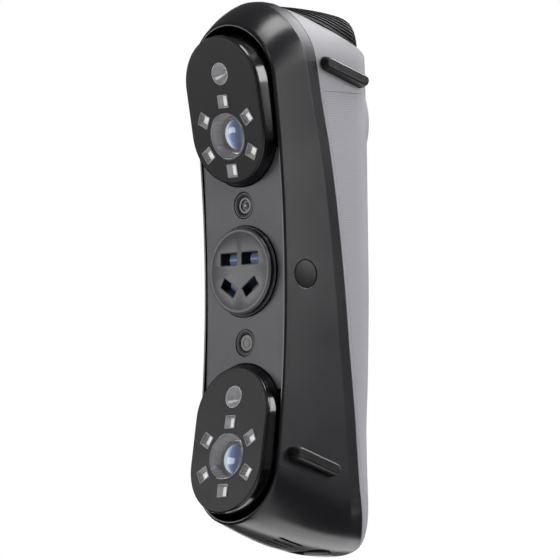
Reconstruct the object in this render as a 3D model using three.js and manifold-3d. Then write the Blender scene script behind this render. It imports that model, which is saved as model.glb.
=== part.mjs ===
// Handheld stereo 3-D scanner.
// Millimetres. +Z runs up the long axis, -Y is the face with the cameras, +X is the scanner's own
// left side. The pieces are laid out from a point on the front surface, on the axis of the round
// laser projector. The last step moves the whole assembly so that its frame's origin is the centre
// of its bounding box.
import * as THREE from "three";
import { mergeVertices } from "three/addons/utils/BufferGeometryUtils.js";
import Module from "manifold-3d";

// ---------------------------------------------------------------- driving dimensions
const GAP = 0.3; // clearance between the shells and the cap
const SPLIT = GAP / 2; // each side's share of it

// housing
const FRONT_RADIUS = 620; // the front is gently concave along the scanner's length
const LIP_HALF = 21.2; // half width at the front lip
const BODY_HALF = 23.8; // half width at the crease, the widest place
const SEAM_HALF = 23.1; // half width at the seam between the shells
const LIP_TOP = 90.7;
const LIP_BOTTOM = -92.9;
const BODY_TOP = 100.1;
const BODY_BOTTOM = -103.9;
const TOP_RISE = 18; // depth over which the dome reaches its full height
const BOTTOM_RISE = 56; // depth over which the bottom reaches its full depth
const BOTTOM_SQUARE = 2.8; // outline power at the bottom's back, where 2 is a circle
const SQUARE_DEPTH = 30; // depth over which the bottom reaches that power
const CREASE = 5.8; // the crease runs this far in front of the seam
const LIP_BEVEL = 0.6;
const WALL = 2.2;
const REAR_CORNER = 12.6; // rounding of the long rear edges
const END_CORNER = 1.6; // rounding of the rear edge at the two ends
const MIN_CORNER = 0.6;

// seam between the dark front shell and the grey rear shell, [z, y]
const SEAM = [
  [-110, 42.2], [-104, 42.0], [-101.5, 41.8], [-98.4, 40.5], [-94.2, 38.4], [-86, 36.1],
  [-80, 35.1], [-74.7, 34.6], [-53.3, 33.1], [-25.4, 30.4], [-9, 29], [22.6, 25.3],
  [44.8, 21.7], [63.3, 17.7], [71.4, 16.3], [78.9, 14.8], [84.9, 13.6], [90.2, 12.1],
  [95.5, 10.9], [101, 10.2],
];
// back of the grey shell, [z, y]
const BACK = [
  [-110, 43.6], [-95, 44.4], [-83, 44.8], [-70, 45.5], [-52, 46.8], [-37, 47.7], [0, 48.7],
  [40, 48.7], [73, 48.2], [101, 47.4],
];
const SEAM_END_Z = -100; // the grey shell ends here, and the dark shell closes the bottom
// top edge of the grey shell: starts at this point and falls towards the back
const SLOPE = { y: 10.7, z: 96.5, fall: 0.507 };

// cutting blocks run out to these planes, clear of the housing
const CLEAR_SIDE = 60;
const CLEAR_BACK = 64;
const CLEAR_TOP = 120;
const THROUGH_FRONT = [-20, 20]; // y span of holes right through the front panel

// round parts of the front, and what they share
const DISC_BASE_RADIUS = 16.6;
const ROUND_Z = [24.2, -26.2]; // centres of the two small round windows
const ROUND_RADIUS = 4.9;
const POD_BASE_RADIUS = 19.45;
// z: pod origin; lean: sign of its tilt; lens, cup: centres along the face; base: end centres
const POD_Y = -9.3;
const PODS = {
  upper: { z: 58.65, lean: 1, lens: -9.5, cup: 13.5, base: [69.3, 50.6] },
  lower: { z: -61.85, lean: -1, lens: -6.25, cup: 16.0, base: [-53.4, -71.5] },
};

const PAD = { z: 56.2, rx: 16.3, rz: 20.5, proud: 1.3 }; // an oval pad on the back
const SCAN_RADIUS = 6.4;
const KEY_RADIUS = 3.8;
const KEY_OFFSET = 13.0; // plus and minus keys, above and below the scan button
const PLUG = { y: 9.4, z: -1.8, radius: 5.1 };
const FAN = { y: 27, bottom: 71.5, top: 78, half: 11.5, bore: 10.6 };

// ---------------------------------------------------------------- numbers
const QUARTER_TURN = Math.PI / 2;
const mix = (from, to, share) => from + (to - from) * share;
const clamp = (value, low, high) => Math.min(high, Math.max(low, value));
const radians = (degrees) => (degrees * Math.PI) / 180;
const around = (centre, half) => [centre - half, centre + half];
// 0 to 1 in equal steps, both ends included
const fractions = (steps) => Array.from({ length: steps + 1 }, (_, i) => i / steps);
// [x, z] places at +x and -x for each height
const pairs = (x, heights) => heights.flatMap((z) => [[x, z], [-x, z]]);

// smooth monotone interpolation through [key, value] pairs
function smoothTable(points) {
  const last = points.length - 1;
  const secants = points
    .slice(1)
    .map(([key, value], i) => (value - points[i][1]) / (key - points[i][0]));
  const tangents = points.map((_, i) => {
    if (i === 0) return secants[0];
    if (i === last) return secants[last - 1];
    const before = secants[i - 1];
    const after = secants[i];
    return before * after <= 0 ? 0 : (2 * before * after) / (before + after);
  });
  return (wanted) => {
    const key = clamp(wanted, points[0][0], points[last][0]);
    let i = 0;
    while (i < last - 1 && key > points[i + 1][0]) i++;
    const width = points[i + 1][0] - points[i][0];
    const t = (key - points[i][0]) / width;
    const square = t * t;
    const cube = square * t;
    return (
      (2 * cube - 3 * square + 1) * points[i][1] +
      (cube - 2 * square + t) * width * tangents[i] +
      (-2 * cube + 3 * square) * points[i + 1][1] +
      (cube - square) * width * tangents[i + 1]
    );
  };
}
const seamY = smoothTable(SEAM);
const backY = smoothTable(BACK);
const frontY = (z) => (-z * z) / (2 * FRONT_RADIUS);
const slopeZ = (y) => SLOPE.z - SLOPE.fall * (y - SLOPE.y);

// ---------------------------------------------------------------- solids
const wasm = await Module();
wasm.setup();

// a Manifold solid from a closed geometry; a solid passes straight through
function solid(shape) {
  if (!shape.isBufferGeometry) return shape;
  const bare = shape.clone();
  bare.deleteAttribute("normal");
  bare.deleteAttribute("uv");
  const merged = mergeVertices(bare, 1e-4);
  const mesh = new wasm.Mesh({
    numProp: 3,
    vertProperties: new Float32Array(merged.attributes.position.array),
    triVerts: new Uint32Array(merged.index.array),
  });
  return new wasm.Manifold(mesh);
}
const cut = (base, ...tools) => tools.reduce((made, tool) => made.subtract(solid(tool)), solid(base));
const join = (base, ...parts) => parts.reduce((made, part) => made.add(solid(part)), solid(base));

function indexedGeometry(positions, index) {
  const geometry = new THREE.BufferGeometry();
  geometry.setAttribute("position", new THREE.BufferAttribute(new Float32Array(positions), 3));
  geometry.setIndex(index);
  return geometry;
}

function geometryOf(made) {
  const mesh = made.getMesh();
  const flat = indexedGeometry(mesh.vertProperties, Array.from(mesh.triVerts)).toNonIndexed();
  flat.computeVertexNormals();
  return flat;
}

// ---------------------------------------------------------------- basic shapes
function extrude(outline, depth) {
  const shape = new THREE.Shape(outline.map(([across, up]) => new THREE.Vector2(across, up)));
  return new THREE.ExtrudeGeometry(shape, { depth, bevelEnabled: false });
}
function remap(geometry, move) {
  const position = geometry.attributes.position;
  for (let i = 0; i < position.count; i++) {
    position.setXYZ(i, ...move(position.getX(i), position.getY(i), position.getZ(i)));
  }
  return geometry;
}
// an (x, z) outline given thickness along Y
const plateY = (outline, [from, to]) =>
  remap(extrude(outline, to - from), (across, up, depth) => [across, to - depth, up]);
// a (y, z) outline given thickness along X
const plateX = (outline, [from, to]) =>
  remap(extrude(outline, to - from), (across, up, depth) => [depth + from, across, up]);
// an (x, y) outline given thickness along Z
const plateZ = (outline, [from, to]) => extrude(outline, to - from).translate(0, 0, from);
// a (y, z) outline carried right across the scanner
const acrossBody = (outline) => plateX(outline, [-CLEAR_SIDE, CLEAR_SIDE]);

function box(...spans) {
  const sizes = spans.map(([from, to]) => to - from);
  const centre = spans.map(([from, to]) => (from + to) / 2);
  return new THREE.BoxGeometry(...sizes).translate(...centre);
}
const cylinderY = (radius, [from, to], x, z, segments) =>
  new THREE.CylinderGeometry(radius, radius, to - from, segments).translate(x, (from + to) / 2, z);
// a cylinder along Z on the fan's axis
const fanCylinder = (radius, [from, to], segments) =>
  new THREE.CylinderGeometry(radius, radius, to - from, segments)
    .rotateX(QUARTER_TURN)
    .translate(0, FAN.y, (from + to) / 2);
// a piece turned about the Y axis, from [radius, y] points listed from front to back
const turned = (profile, segments) =>
  new THREE.LatheGeometry(profile.map(([radius, y]) => new THREE.Vector2(radius, y)), segments);

// outline of a bar with round ends, from the centres of its start and its end
function barOutline(radius, start, end, steps) {
  const heading = Math.atan2(end[1] - start[1], end[0] - start[0]);
  const arc = ([across, up], turn) =>
    fractions(steps).map((share) => {
      const angle = heading + turn + share * Math.PI;
      return [across + radius * Math.cos(angle), up + radius * Math.sin(angle)];
    });
  return [...arc(end, -QUARTER_TURN), ...arc(start, QUARTER_TURN)];
}
const uprightBar = (radius, low, high, steps) => barOutline(radius, [0, low], [0, high], steps);

// outline of a rectangle centred at (x, z) and turned by some degrees
function rectangle({ x, z, width, height, turn }) {
  const cos = Math.cos(radians(turn));
  const sin = Math.sin(radians(turn));
  return [[-1, -1], [1, -1], [1, 1], [-1, 1]].map(([right, up]) => {
    const across = (right * width) / 2;
    const rise = (up * height) / 2;
    return [x + across * cos - rise * sin, z + across * sin + rise * cos];
  });
}

// joins rings of [x, y, z] points into a closed skin; endTriangles closes the first ring
// and, turned over, the last
function closedSkin(rings, endTriangles) {
  const count = rings[0].length;
  const index = [];
  for (let ring = 0; ring + 1 < rings.length; ring++)
    for (let i = 0; i < count; i++) {
      const next = (i + 1) % count;
      const here = ring * count;
      const above = here + count;
      index.push(here + i, here + next, above + next, here + i, above + next, above + i);
    }
  const last = (rings.length - 1) * count;
  for (const [i, j, k] of endTriangles) index.push(i, j, k, last + i, last + k, last + j);
  return solid(indexedGeometry(rings.flat(2), index));
}

// half outlines (x >= 0, listed from top to bottom, stacked from front to back) mirrored left to
// right and joined into one solid
function loft(halfRings) {
  const last = halfRings[0].length - 1;
  const count = 2 * last;
  const rings = halfRings.map((half) => [
    ...half.map(([x, y, z], i) => [i === 0 || i === last ? 0 : x, y, z]),
    ...half.slice(1, last).reverse().map(([x, y, z]) => [-x, y, z]),
  ]);
  const ends = [];
  for (let i = 0; i < last; i++) {
    const mirror = (count - i) % count;
    const mirrorNext = count - i - 1;
    if (i < last - 1) ends.push([i, mirrorNext, i + 1]);
    if (i > 0) ends.push([i, mirror, mirrorNext]);
  }
  return closedSkin(rings, ends);
}

// ---------------------------------------------------------------- the housing's outer form
const FULL_TOP = BODY_TOP - BODY_HALF; // centres of the full-size round ends
const FULL_BOTTOM = BODY_BOTTOM + BODY_HALF;

// Stations round the half outline: the top round end (end 1), the straight side (end 0) and the
// bottom round end (end -1), each with the y of the surfaces at its height.
const STATIONS = [
  ...fractions(8).map((share) => ({ end: 1, angle: QUARTER_TURN * (1 - share) })),
  ...fractions(7).slice(1, -1).map((along) => ({ end: 0, along })),
  ...fractions(8).map((share) => ({ end: -1, angle: QUARTER_TURN * share })),
].map((station) => {
  let z;
  if (station.end === 0) z = mix(FULL_TOP, FULL_BOTTOM, station.along);
  else {
    const centre = station.end === 1 ? FULL_TOP : FULL_BOTTOM;
    z = centre + station.end * BODY_HALF * Math.sin(station.angle);
  }
  const seam = seamY(z);
  return { ...station, front: frontY(z), seam, crease: seam - CREASE, back: backY(z) };
});
const topRise = (depth) => 1 - (1 - clamp(depth / TOP_RISE, 0, 1)) ** 1.9;
const bottomRise = (depth) => 1 - (1 - clamp(depth / BOTTOM_RISE, 0, 1)) ** 1.7;

// [x, z] of one station's outline point at depth y
function outlinePoint({ end, angle, along, front, crease }, y, inset) {
  const depth = Math.max(0, y - front);
  const flare = clamp((y - front) / (crease - front), 0, 1);
  // the step in to the seam dies away round the bottom
  const fade = end === -1 ? 1 - 0.8 * Math.sin(angle) ** 2 : 1;
  const stepIn = (BODY_HALF - SEAM_HALF) * clamp((y - crease) / CREASE, 0, 1) * fade;
  const side = mix(LIP_HALF, BODY_HALF, flare) - stepIn;
  const topCentre = mix(LIP_TOP - LIP_HALF, FULL_TOP, topRise(depth));
  const bottomCentre = mix(LIP_BOTTOM + LIP_HALF, FULL_BOTTOM, bottomRise(depth));
  if (end === 0) return [side - inset, mix(topCentre, bottomCentre, along)];

  const atTop = end === 1;
  const growth = atTop ? topRise(depth) : bottomRise(depth);
  const endRadius = mix(LIP_HALF, BODY_HALF, growth) - stepIn;
  const halfWidth = mix(side, endRadius, Math.sin(angle) ** 2);
  const squareness = (BOTTOM_SQUARE - 2) * clamp(depth / SQUARE_DEPTH, 0, 1);
  const power = atTop ? 1 : 2 / (2 + squareness);
  return [
    (halfWidth - inset) * Math.cos(angle) ** power,
    (atTop ? topCentre : bottomCentre) + end * (endRadius - inset) * Math.sin(angle) ** power,
  ];
}

// The housing's form, shrunk by inset and by a further rearInset at the back. With startY it has
// a flat front there, in place of the lip.
function bodyLoft({ inset = 0, startY = null, rearInset = 0 } = {}) {
  const stations = STATIONS.map((station) => {
    const { end, angle, seam, back } = station;
    const rounding = end === 0 ? REAR_CORNER : mix(REAR_CORNER, END_CORNER, Math.sin(angle) ** 2);
    const room = Math.min(rounding, back - seam - 0.4 - rearInset);
    const corner = Math.max(MIN_CORNER, room - inset - rearInset * 0.5);
    return { ...station, corner, rear: back - inset - rearInset };
  });
  // each level gives a station's y and how much further in than inset it lies
  const frontLevels =
    startY === null
      ? [
          ({ front }) => [front + inset, LIP_BEVEL],
          ({ front }) => [front + LIP_BEVEL + inset, 0],
          ...[0.14, 0.3, 0.6, 1].map(
            (share) => ({ front, crease }) => [mix(front, crease, share), 0],
          ),
        ]
      : [0, 0.3, 1].map(
          (share) => ({ crease }) => [mix(startY, Math.max(crease, startY + 0.5), share), 0],
        );
  const cornerLevels = [0, 30, 60, 90].map(radians).map((angle) => ({ rear, corner }) => [
    rear - corner + corner * Math.sin(angle),
    rearInset * 0.6 + corner * (1 - Math.cos(angle)),
  ]);
  const levels = [...frontLevels, ({ seam }) => [seam, 0], ...cornerLevels];
  return loft(
    levels.map((level) =>
      stations.map((station) => {
        const [y, further] = level(station);
        const [x, z] = outlinePoint(station, y, inset + further);
        return [x, y, z];
      }),
    ),
  );
}

const outer = bodyLoft();
const cavityRear = bodyLoft({ inset: WALL, startY: 3.0, rearInset: 0.2 });
const cavityFront = bodyLoft({ inset: WALL, startY: 3.0 });
const seat = bodyLoft({ inset: -0.2 }); // a skin just outside the housing, for feet and pad

// heights between the ends at which the rear region follows the seam
const REAR_EDGE_Z = [
  93, 90, 86, 82, 78, 73, 68, 62, 54, 45, 35, 23, 10, -5, -25, -45, -62, -74, -80, -86, -90, -94,
  -97,
];
// behind the seam, below the sloping top edge and above the bottom end, grown on every side
function rearRegion(grow) {
  return acrossBody([
    [seamY(SLOPE.z) - grow, SLOPE.z + grow * 1.1],
    ...REAR_EDGE_Z.map((z) => [seamY(z) - grow, z]),
    [seamY(SEAM_END_Z) - grow, SEAM_END_Z - grow],
    [CLEAR_BACK, SEAM_END_Z - grow],
    [CLEAR_BACK, slopeZ(CLEAR_BACK) + grow * 1.12],
  ]);
}
// above the slope and behind the dome's front part
const CAP_FRONT = 10.35;
function capRegion(grow) {
  return acrossBody([
    [CAP_FRONT - grow, CLEAR_TOP],
    [CAP_FRONT - grow, slopeZ(CAP_FRONT) - grow],
    [CLEAR_BACK, slopeZ(CLEAR_BACK) - grow],
    [CLEAR_BACK, CLEAR_TOP],
  ]);
}

// ---------------------------------------------------------------- finishes and parts list
const FINISHES = {
  shell: { color: 0x37363a, roughness: 0.55, metalness: 0 },
  grey: { color: 0x9b9a9f, roughness: 0.6, metalness: 0 },
  grip: { color: 0x8f8e94, roughness: 0.75, metalness: 0 },
  panel: { color: 0x47464c, roughness: 0.5, metalness: 0 },
  gloss: { color: 0x0c0c0e, roughness: 0.12, metalness: 0 },
  satin: { color: 0x2c2b2f, roughness: 0.4, metalness: 0 },
  silver: { color: 0xc9cace, roughness: 0.25, metalness: 0.9 },
  glass: { color: 0x6f7fae, roughness: 0.05, metalness: 0 },
  board: { color: 0x1f5a37, roughness: 0.6, metalness: 0 },
  black: { color: 0x18181a, roughness: 0.6, metalness: 0 },
  rubber: { color: 0x222124, roughness: 0.85, metalness: 0 },
  metal: { color: 0x9aa0a6, roughness: 0.35, metalness: 1 },
  steel: { color: 0xb8bbc0, roughness: 0.3, metalness: 1 },
  amber: { color: 0x8a5a1e, roughness: 0.5, metalness: 0 },
};
const scanner = new THREE.Group();
scanner.name = "handheld_scanner";
function add(name, made, finish, parent = scanner) {
  const geometry = made.isBufferGeometry ? made : geometryOf(made);
  const mesh = new THREE.Mesh(geometry, new THREE.MeshStandardMaterial(FINISHES[finish]));
  mesh.name = name;
  parent.add(mesh);
}

// ---------------------------------------------------------------- front shell
// bar-shaped opening in the front: half width, centres of its round ends, and its floor
const OPENING = { radius: 20.1, top: 69.5, bottom: -71.7, depth: 3.6 };
const SLOT = { pitch: 3.7, width: 1.4, ySpan: [9, 20.5] }; // slots through the bottom
const PORT = { y: 31, half: 5.6, radius: 4.4 };
// bosses that carry the optical frame, each joined to the side wall by a rib
const BOSS_PLACES = pairs(17.2, [27, -29]);
const BOSS = { ySpan: [4.2, 10.1], radius: 2.3, bore: 1.15, ribLength: 3.4, ribHalf: 1.3 };

const portOutline = (radius) => barOutline(radius, [-PORT.half, PORT.y], [PORT.half, PORT.y], 8);

// a round piece along the side wall's normal at the plug, its span measured out from the wall
function plugCylinder(radius, [from, to]) {
  const tilt = Math.atan((BODY_HALF - LIP_HALF) / 23);
  const front = frontY(PLUG.z);
  const share = (PLUG.y - front) / (seamY(PLUG.z) - CREASE - front);
  return solid(
    new THREE.CylinderGeometry(radius, radius, to - from, 28)
      .rotateZ(QUARTER_TURN)
      .translate((from + to) / 2, 0, 0)
      .rotateZ(-tilt)
      .translate(mix(LIP_HALF, BODY_HALF, share), PLUG.y, PLUG.z),
  );
}
const mirrored = (made) => made.mirror([1, 0, 0]);

function boss([x, z]) {
  const ribX = x + (Math.sign(x) * BOSS.ribLength) / 2;
  return cut(
    join(
      cylinderY(BOSS.radius, BOSS.ySpan, x, z, 10),
      box(around(ribX, BOSS.ribLength / 2), BOSS.ySpan, around(z, BOSS.ribHalf)),
    ),
    cylinderY(BOSS.bore, [5.2, 11], x, z, 8),
  );
}

function frontShell() {
  const openingOutline = uprightBar(OPENING.radius, OPENING.bottom, OPENING.top, 12);
  const slots = [-2, -1, 0, 1, 2].map((step) =>
    box(around(step * SLOT.pitch, SLOT.width / 2), SLOT.ySpan, [-115, -88]),
  );
  const plugHole = plugCylinder(PLUG.radius + 0.2, [-6, 4]);
  const shell = cut(
    outer,
    plateY(openingOutline, [-30, OPENING.depth]),
    cavityFront,
    rearRegion(SPLIT),
    capRegion(SPLIT),
    ...slots,
    plateZ(portOutline(PORT.radius), [-115, -92]),
    plugHole,
    mirrored(plugHole),
  );
  return join(shell, ...BOSS_PLACES.map(boss));
}
add("front_shell", frontShell(), "shell");

// ---------------------------------------------------------------- rear shell and grip panel
const GRIP_EDGE = 1.4; // the panel starts this far behind the seam
const GRIP_TOP = 65.5;
const GRIP_EDGE_Z = [54, 45, 35, 23, 10, -5, -25, -45, -60, -70]; // its edge follows the seam here
// its lower front corner, swept round to the back, [y, z]
const GRIP_END = [[36.9, -77.5], [38.6, -81.5], [41.2, -84.3], [44.2, -85.6]];
const GRIP_BOTTOM = GRIP_END[3][1];
const GRIP_DEPTH = 1.0; // thickness of the panel
const RECESS_DEPTH = 1.25; // depth of its recess in the shell
const RECESS_MARGIN = 0.2;
const PAD_MARGIN = 0.6; // the panel keeps this far from the control pad
const DECK = 2.4; // thickness, straight down, of the sloping deck under the cap
const OUTLET_RADIUS = 9.2;

function gripRegion(grow) {
  const edgeY = (z) => seamY(z) + GRIP_EDGE - grow;
  const region = acrossBody([
    [edgeY(GRIP_TOP), GRIP_TOP + grow],
    ...GRIP_EDGE_Z.map((z) => [edgeY(z), z]),
    ...GRIP_END.map(([y, z]) => [y - grow, z - grow]),
    [CLEAR_BACK, GRIP_BOTTOM - grow],
    [CLEAR_BACK, GRIP_TOP + grow],
  ]);
  const margin = PAD_MARGIN - grow;
  const padHole = new THREE.CylinderGeometry(1, 1, 50, 36)
    .scale(PAD.rx + margin, 1, PAD.rz + margin)
    .translate(0, 45, PAD.z);
  return cut(region, padHole);
}

// holes for the scan button and the two keys
function buttonHoles(scanGap, keyGap) {
  const ySpan = [35, 70];
  return [
    cylinderY(SCAN_RADIUS + scanGap, ySpan, 0, PAD.z, 28),
    ...[1, -1].map((side) =>
      cylinderY(KEY_RADIUS + keyGap, ySpan, 0, PAD.z + side * KEY_OFFSET, 16),
    ),
  ];
}

// the grey shell is closed under the cap by a sloping deck with a round outlet over the fan
function rearShell() {
  const underDeck = acrossBody([
    [-40, -150],
    [70, -150],
    [70, slopeZ(70) - DECK],
    [-40, slopeZ(-40) - DECK],
  ]);
  const recess = cut(bodyLoft({ inset: -1.5 }), bodyLoft({ inset: RECESS_DEPTH })).intersect(
    gripRegion(RECESS_MARGIN),
  );
  const shell = cut(outer, cavityRear.intersect(solid(underDeck)));
  return cut(
    shell.intersect(solid(rearRegion(-SPLIT))),
    fanCylinder(OUTLET_RADIUS, [70, 110], 24),
    recess,
    ...buttonHoles(0.35, 0.3),
  );
}
const gripPanel = () => cut(outer, bodyLoft({ inset: GRIP_DEPTH })).intersect(gripRegion(0));

add("rear_shell", rearShell(), "grey");
add("rear_grip_panel", gripPanel(), "grip");

// ---------------------------------------------------------------- top cap
const CAP = {
  radius: 22.4, // 1.5 inside the dome in front
  centreZ: 75.8,
  bottomZ: 55,
  backY: 42.3,
  square: 3.5, // outline power at the back, where 2 is a circle
  fall: 3.2, // drop of the top towards the back
  narrowing: 1.5, // loss of half width towards the back
  sideCorner: 5.5, // rounding of the back edges
  topCorner: 1.8,
};
const CAP_FRONT_Y = [10.9, 17, 23, 29]; // ring depths that stay put when the cap is inset
const CAP_REAR_Y = [35.3, 38, 40.3, 41.5, CAP.backY];

// a block that carries the dome's outline back to the vent face, its top falling gently
function capLoft(inset) {
  const rearInset = inset * 0.6;
  const end = CAP.backY - rearInset;
  const roundOff = (radius, y) =>
    y > end - radius
      ? radius - Math.sqrt(Math.max(0, radius * radius - (y - end + radius) ** 2))
      : 0;
  const depths = [...CAP_FRONT_Y, ...CAP_REAR_Y.map((y) => y - rearInset)];
  return loft(
    depths.map((y) => {
      const fall = CAP.fall * clamp((y - 12) / 29.5, 0, 1) ** 2;
      const narrowing = CAP.narrowing * clamp((y - 14) / 20, 0, 1);
      const width = CAP.radius - inset - roundOff(CAP.sideCorner, y) - narrowing;
      const height = CAP.radius - inset - fall - roundOff(CAP.topCorner, y);
      const power = 2 / mix(2, CAP.square, clamp((y - 11) / 24, 0, 1));
      const arch = fractions(10).map((share) => {
        const angle = QUARTER_TURN * (1 - share);
        const x = width * Math.cos(angle) ** power;
        return [x, y, CAP.centreZ + height * Math.sin(angle) ** power];
      });
      return [...arch, [width, y, CAP.bottomZ], [0, y, CAP.bottomZ]];
    }),
  );
}
function ventCap() {
  const hollowRegion = acrossBody([[12.9, CLEAR_TOP], [12.9, 60], [39.6, 60], [39.6, CLEAR_TOP]]);
  const hollow = capLoft(2).intersect(solid(hollowRegion));
  return cut(capLoft(0).intersect(solid(capRegion(-SPLIT))), hollow);
}
add("top_vent_cap", ventCap(), "black");

// ---------------------------------------------------------------- front panel
// sink and back: depths of its two faces behind the front's curve
const PANEL = { half: 19.8, sink: 0.4, back: 2.0, end: 44 };

// a plate that follows the front's long curve, cut away for the pods, projector and windows
function frontPanel() {
  const heights = fractions(12).map((share) => mix(PANEL.end, -PANEL.end, share));
  const rings = [PANEL.sink, PANEL.back].map((depth) => {
    const point = (x, z) => [x, frontY(z) + depth, z];
    return [point(0, heights[0]), ...heights.map((z) => point(PANEL.half, z)), point(0, heights[12])];
  });
  const podHoles = Object.values(PODS).map(({ base: [high, low] }) =>
    plateY(uprightBar(POD_BASE_RADIUS + 0.35, low, high, 10), THROUGH_FRONT),
  );
  return cut(
    loft(rings),
    ...podHoles,
    cylinderY(DISC_BASE_RADIUS + 0.3, THROUGH_FRONT, 0, 0, 40),
    ...ROUND_Z.map((z) => cylinderY(ROUND_RADIUS + 0.1, THROUGH_FRONT, 0, z, 28)),
  );
}
add("front_panel", frontPanel(), "panel");

// ---------------------------------------------------------------- laser projector
const DISC = { faceRadius: 15.2, radius: 15.9, faceY: -2.7, backY: 4.5 };
const BLOCK = { half: 12.5, bottom: -11, top: 10 };
// windows in the disc; left and right here are as seen from in front
const WINDOWS = {
  upper_left: { x: -5.4, z: 4.6, width: 8.7, height: 4.8, turn: 0 },
  upper_right: { x: 5.4, z: 4.6, width: 8.7, height: 4.8, turn: 0 },
  lower_left: { x: -5.5, z: -5.9, width: 8.0, height: 4.3, turn: -32 },
  lower_right: { x: 5.5, z: -5.9, width: 8.0, height: 4.3, turn: 32 },
};
const windowList = Object.values(WINDOWS);

function projectorHousing() {
  const profile = [
    [0, DISC.faceY], [DISC.faceRadius, DISC.faceY], [DISC.radius, DISC.faceY + 0.7],
    [DISC.radius, -0.5], [DISC_BASE_RADIUS, -0.5], [DISC_BASE_RADIUS, 1.2],
    [DISC_BASE_RADIUS - 1.2, 1.2], [DISC_BASE_RADIUS - 1.2, DISC.backY], [0, DISC.backY],
  ];
  const holes = windowList.map((place) => plateY(rectangle(place), [-10, 10]));
  return cut(turned(profile, 40), ...holes);
}
function laserBlock() {
  const bores = windowList.map(({ x, z }) => cylinderY(3.5, [0, 20], x, z, 20));
  return cut(box(around(0, BLOCK.half), [4.9, 14.2], [BLOCK.bottom, BLOCK.top]), ...bores);
}
function laserLens(place) {
  const outline = rectangle({ ...place, width: place.width - 0.6, height: place.height - 0.6 });
  return plateY(outline, [1.4, 3.6]);
}
add("projector_housing", projectorHousing(), "satin");
add("laser_block", laserBlock(), "metal");
for (const [name, place] of Object.entries(WINDOWS)) {
  add("laser_module_" + name, cylinderY(3.2, [5.1, 15.4], place.x, place.z, 16), "steel");
  add("laser_lens_" + name, laserLens(place), "glass");
}

// ---------------------------------------------------------------- small round windows
const ROUND_LENS = [[0, 0.9], [1.6, 1.0], [2.9, 1.3], [2.9, 2.8], [0, 2.8]]; // [radius, y]

// a round cup in the panel with a square body behind it
function roundBody(z) {
  const y = frontY(z);
  const ring = cut(
    cylinderY(ROUND_RADIUS - 0.2, [y + 0.7, y + 3.4], 0, z, 28),
    cylinderY(3.2, [-5, y + 3.1], 0, z, 20),
  );
  return join(ring, box(around(0, 4.4), [y + 3.2, 10.0], around(z, 4.4)));
}
[["colour_camera", "_lens"], ["range_sensor", "_window"]].forEach(([name, suffix], i) => {
  const z = ROUND_Z[i];
  add(name, roundBody(z), "black");
  add(name + suffix, solid(turned(ROUND_LENS, 20).translate(0, frontY(z), z)), "glass");
});

// ---------------------------------------------------------------- pods
// A pod's pieces lie in its own frame: y = 0 is the face, which is tilted towards the middle of
// the scanner.
const POD_TILT = radians(10);
const POD_RADIUS = 18.48; // end radius of the face
const POD_HALF = 8.87; // half the distance between the face's end centres
const COVER_THICKNESS = 1.2;
const COVER_HOLE = 8.6;
const CUP_HOLE = 4.35;
const LED = { ringRadius: 12.8, window: 4.9, size: 4.4 }; // six squares round the lens

// turned parts of a pod, [radius, y]
const LENS_CONE = [
  [5.3, 6.3], [5.3, 5.2], [7.1, 0.6], [7.5, -0.35], [8.0, -0.35], [8.3, -0.1], [8.3, 1.0],
  [8.05, 3.6], [5.95, 6.3], [5.3, 6.3],
];
const LENS_GLASS = [[0, 3.3], [2.0, 3.5], [3.8, 4.2], [5.0, 5.2], [5.0, 6.1], [0, 6.1]];
const LENS_BARREL = [[0, 6.6], [6.4, 6.6], [6.4, 10.5], [7.2, 10.5], [7.2, 13.4], [0, 13.4]];
const REFLECTOR = [
  [1.5, 4.9], [1.5, 4.2], [3.75, 0.25], [4.05, 0.25], [4.05, 3.4], [3.2, 4.9], [1.5, 4.9],
];

// half outline of a pod at depth y, from the centres of its round ends
function podRing(radius, [high, low], y) {
  const arc = (centre, angles) =>
    angles.map((angle) => [radius * Math.cos(angle), y, centre + radius * Math.sin(angle)]);
  return [
    ...arc(high, fractions(10).map((share) => QUARTER_TURN * (1 - share))),
    ...arc(low, fractions(10).map((share) => -QUARTER_TURN * share)),
  ];
}
const faceRing = (radius, y) => podRing(radius, [POD_HALF, -POD_HALF], y);

// a tapered wall from the edge of the tilted face down into the opening
function podHousing({ z, lean, base }) {
  const toScanner = new THREE.Matrix4().makeRotationX(POD_TILT * lean).setPosition(0, POD_Y, z);
  const rim = faceRing(POD_RADIUS + 0.12, COVER_THICKNESS + 0.15).map((point) =>
    new THREE.Vector3(...point).applyMatrix4(toScanner).toArray(),
  );
  const wall = loft([
    rim,
    podRing(POD_BASE_RADIUS, base, -0.6),
    podRing(POD_BASE_RADIUS, base, OPENING.depth - 0.5),
  ]);
  const well = plateY(uprightBar(POD_RADIUS - 1.3, -POD_HALF, POD_HALF, 10), [-4, 24]);
  return cut(wall, well.applyMatrix4(toScanner));
}
function ledSquares(lens, size, ySpan) {
  return fractions(6).slice(0, 6).map((share) => {
    const turn = 90 + 360 * share;
    const x = LED.ringRadius * Math.cos(radians(turn));
    const z = lens + LED.ringRadius * Math.sin(radians(turn));
    return plateY(rectangle({ x, z, width: size, height: size, turn }), ySpan);
  });
}
function podCover({ lens, cup }) {
  return cut(
    loft([
      faceRing(POD_RADIUS - 0.35, 0),
      faceRing(POD_RADIUS, 0.35),
      faceRing(POD_RADIUS + 0.1, COVER_THICKNESS),
    ]),
    cylinderY(COVER_HOLE, [-3, 6], 0, lens, 32),
    cylinderY(CUP_HOLE, [-3, 6], 0, cup, 20),
    ...ledSquares(lens, LED.window, [-3, 6]),
  );
}
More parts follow.
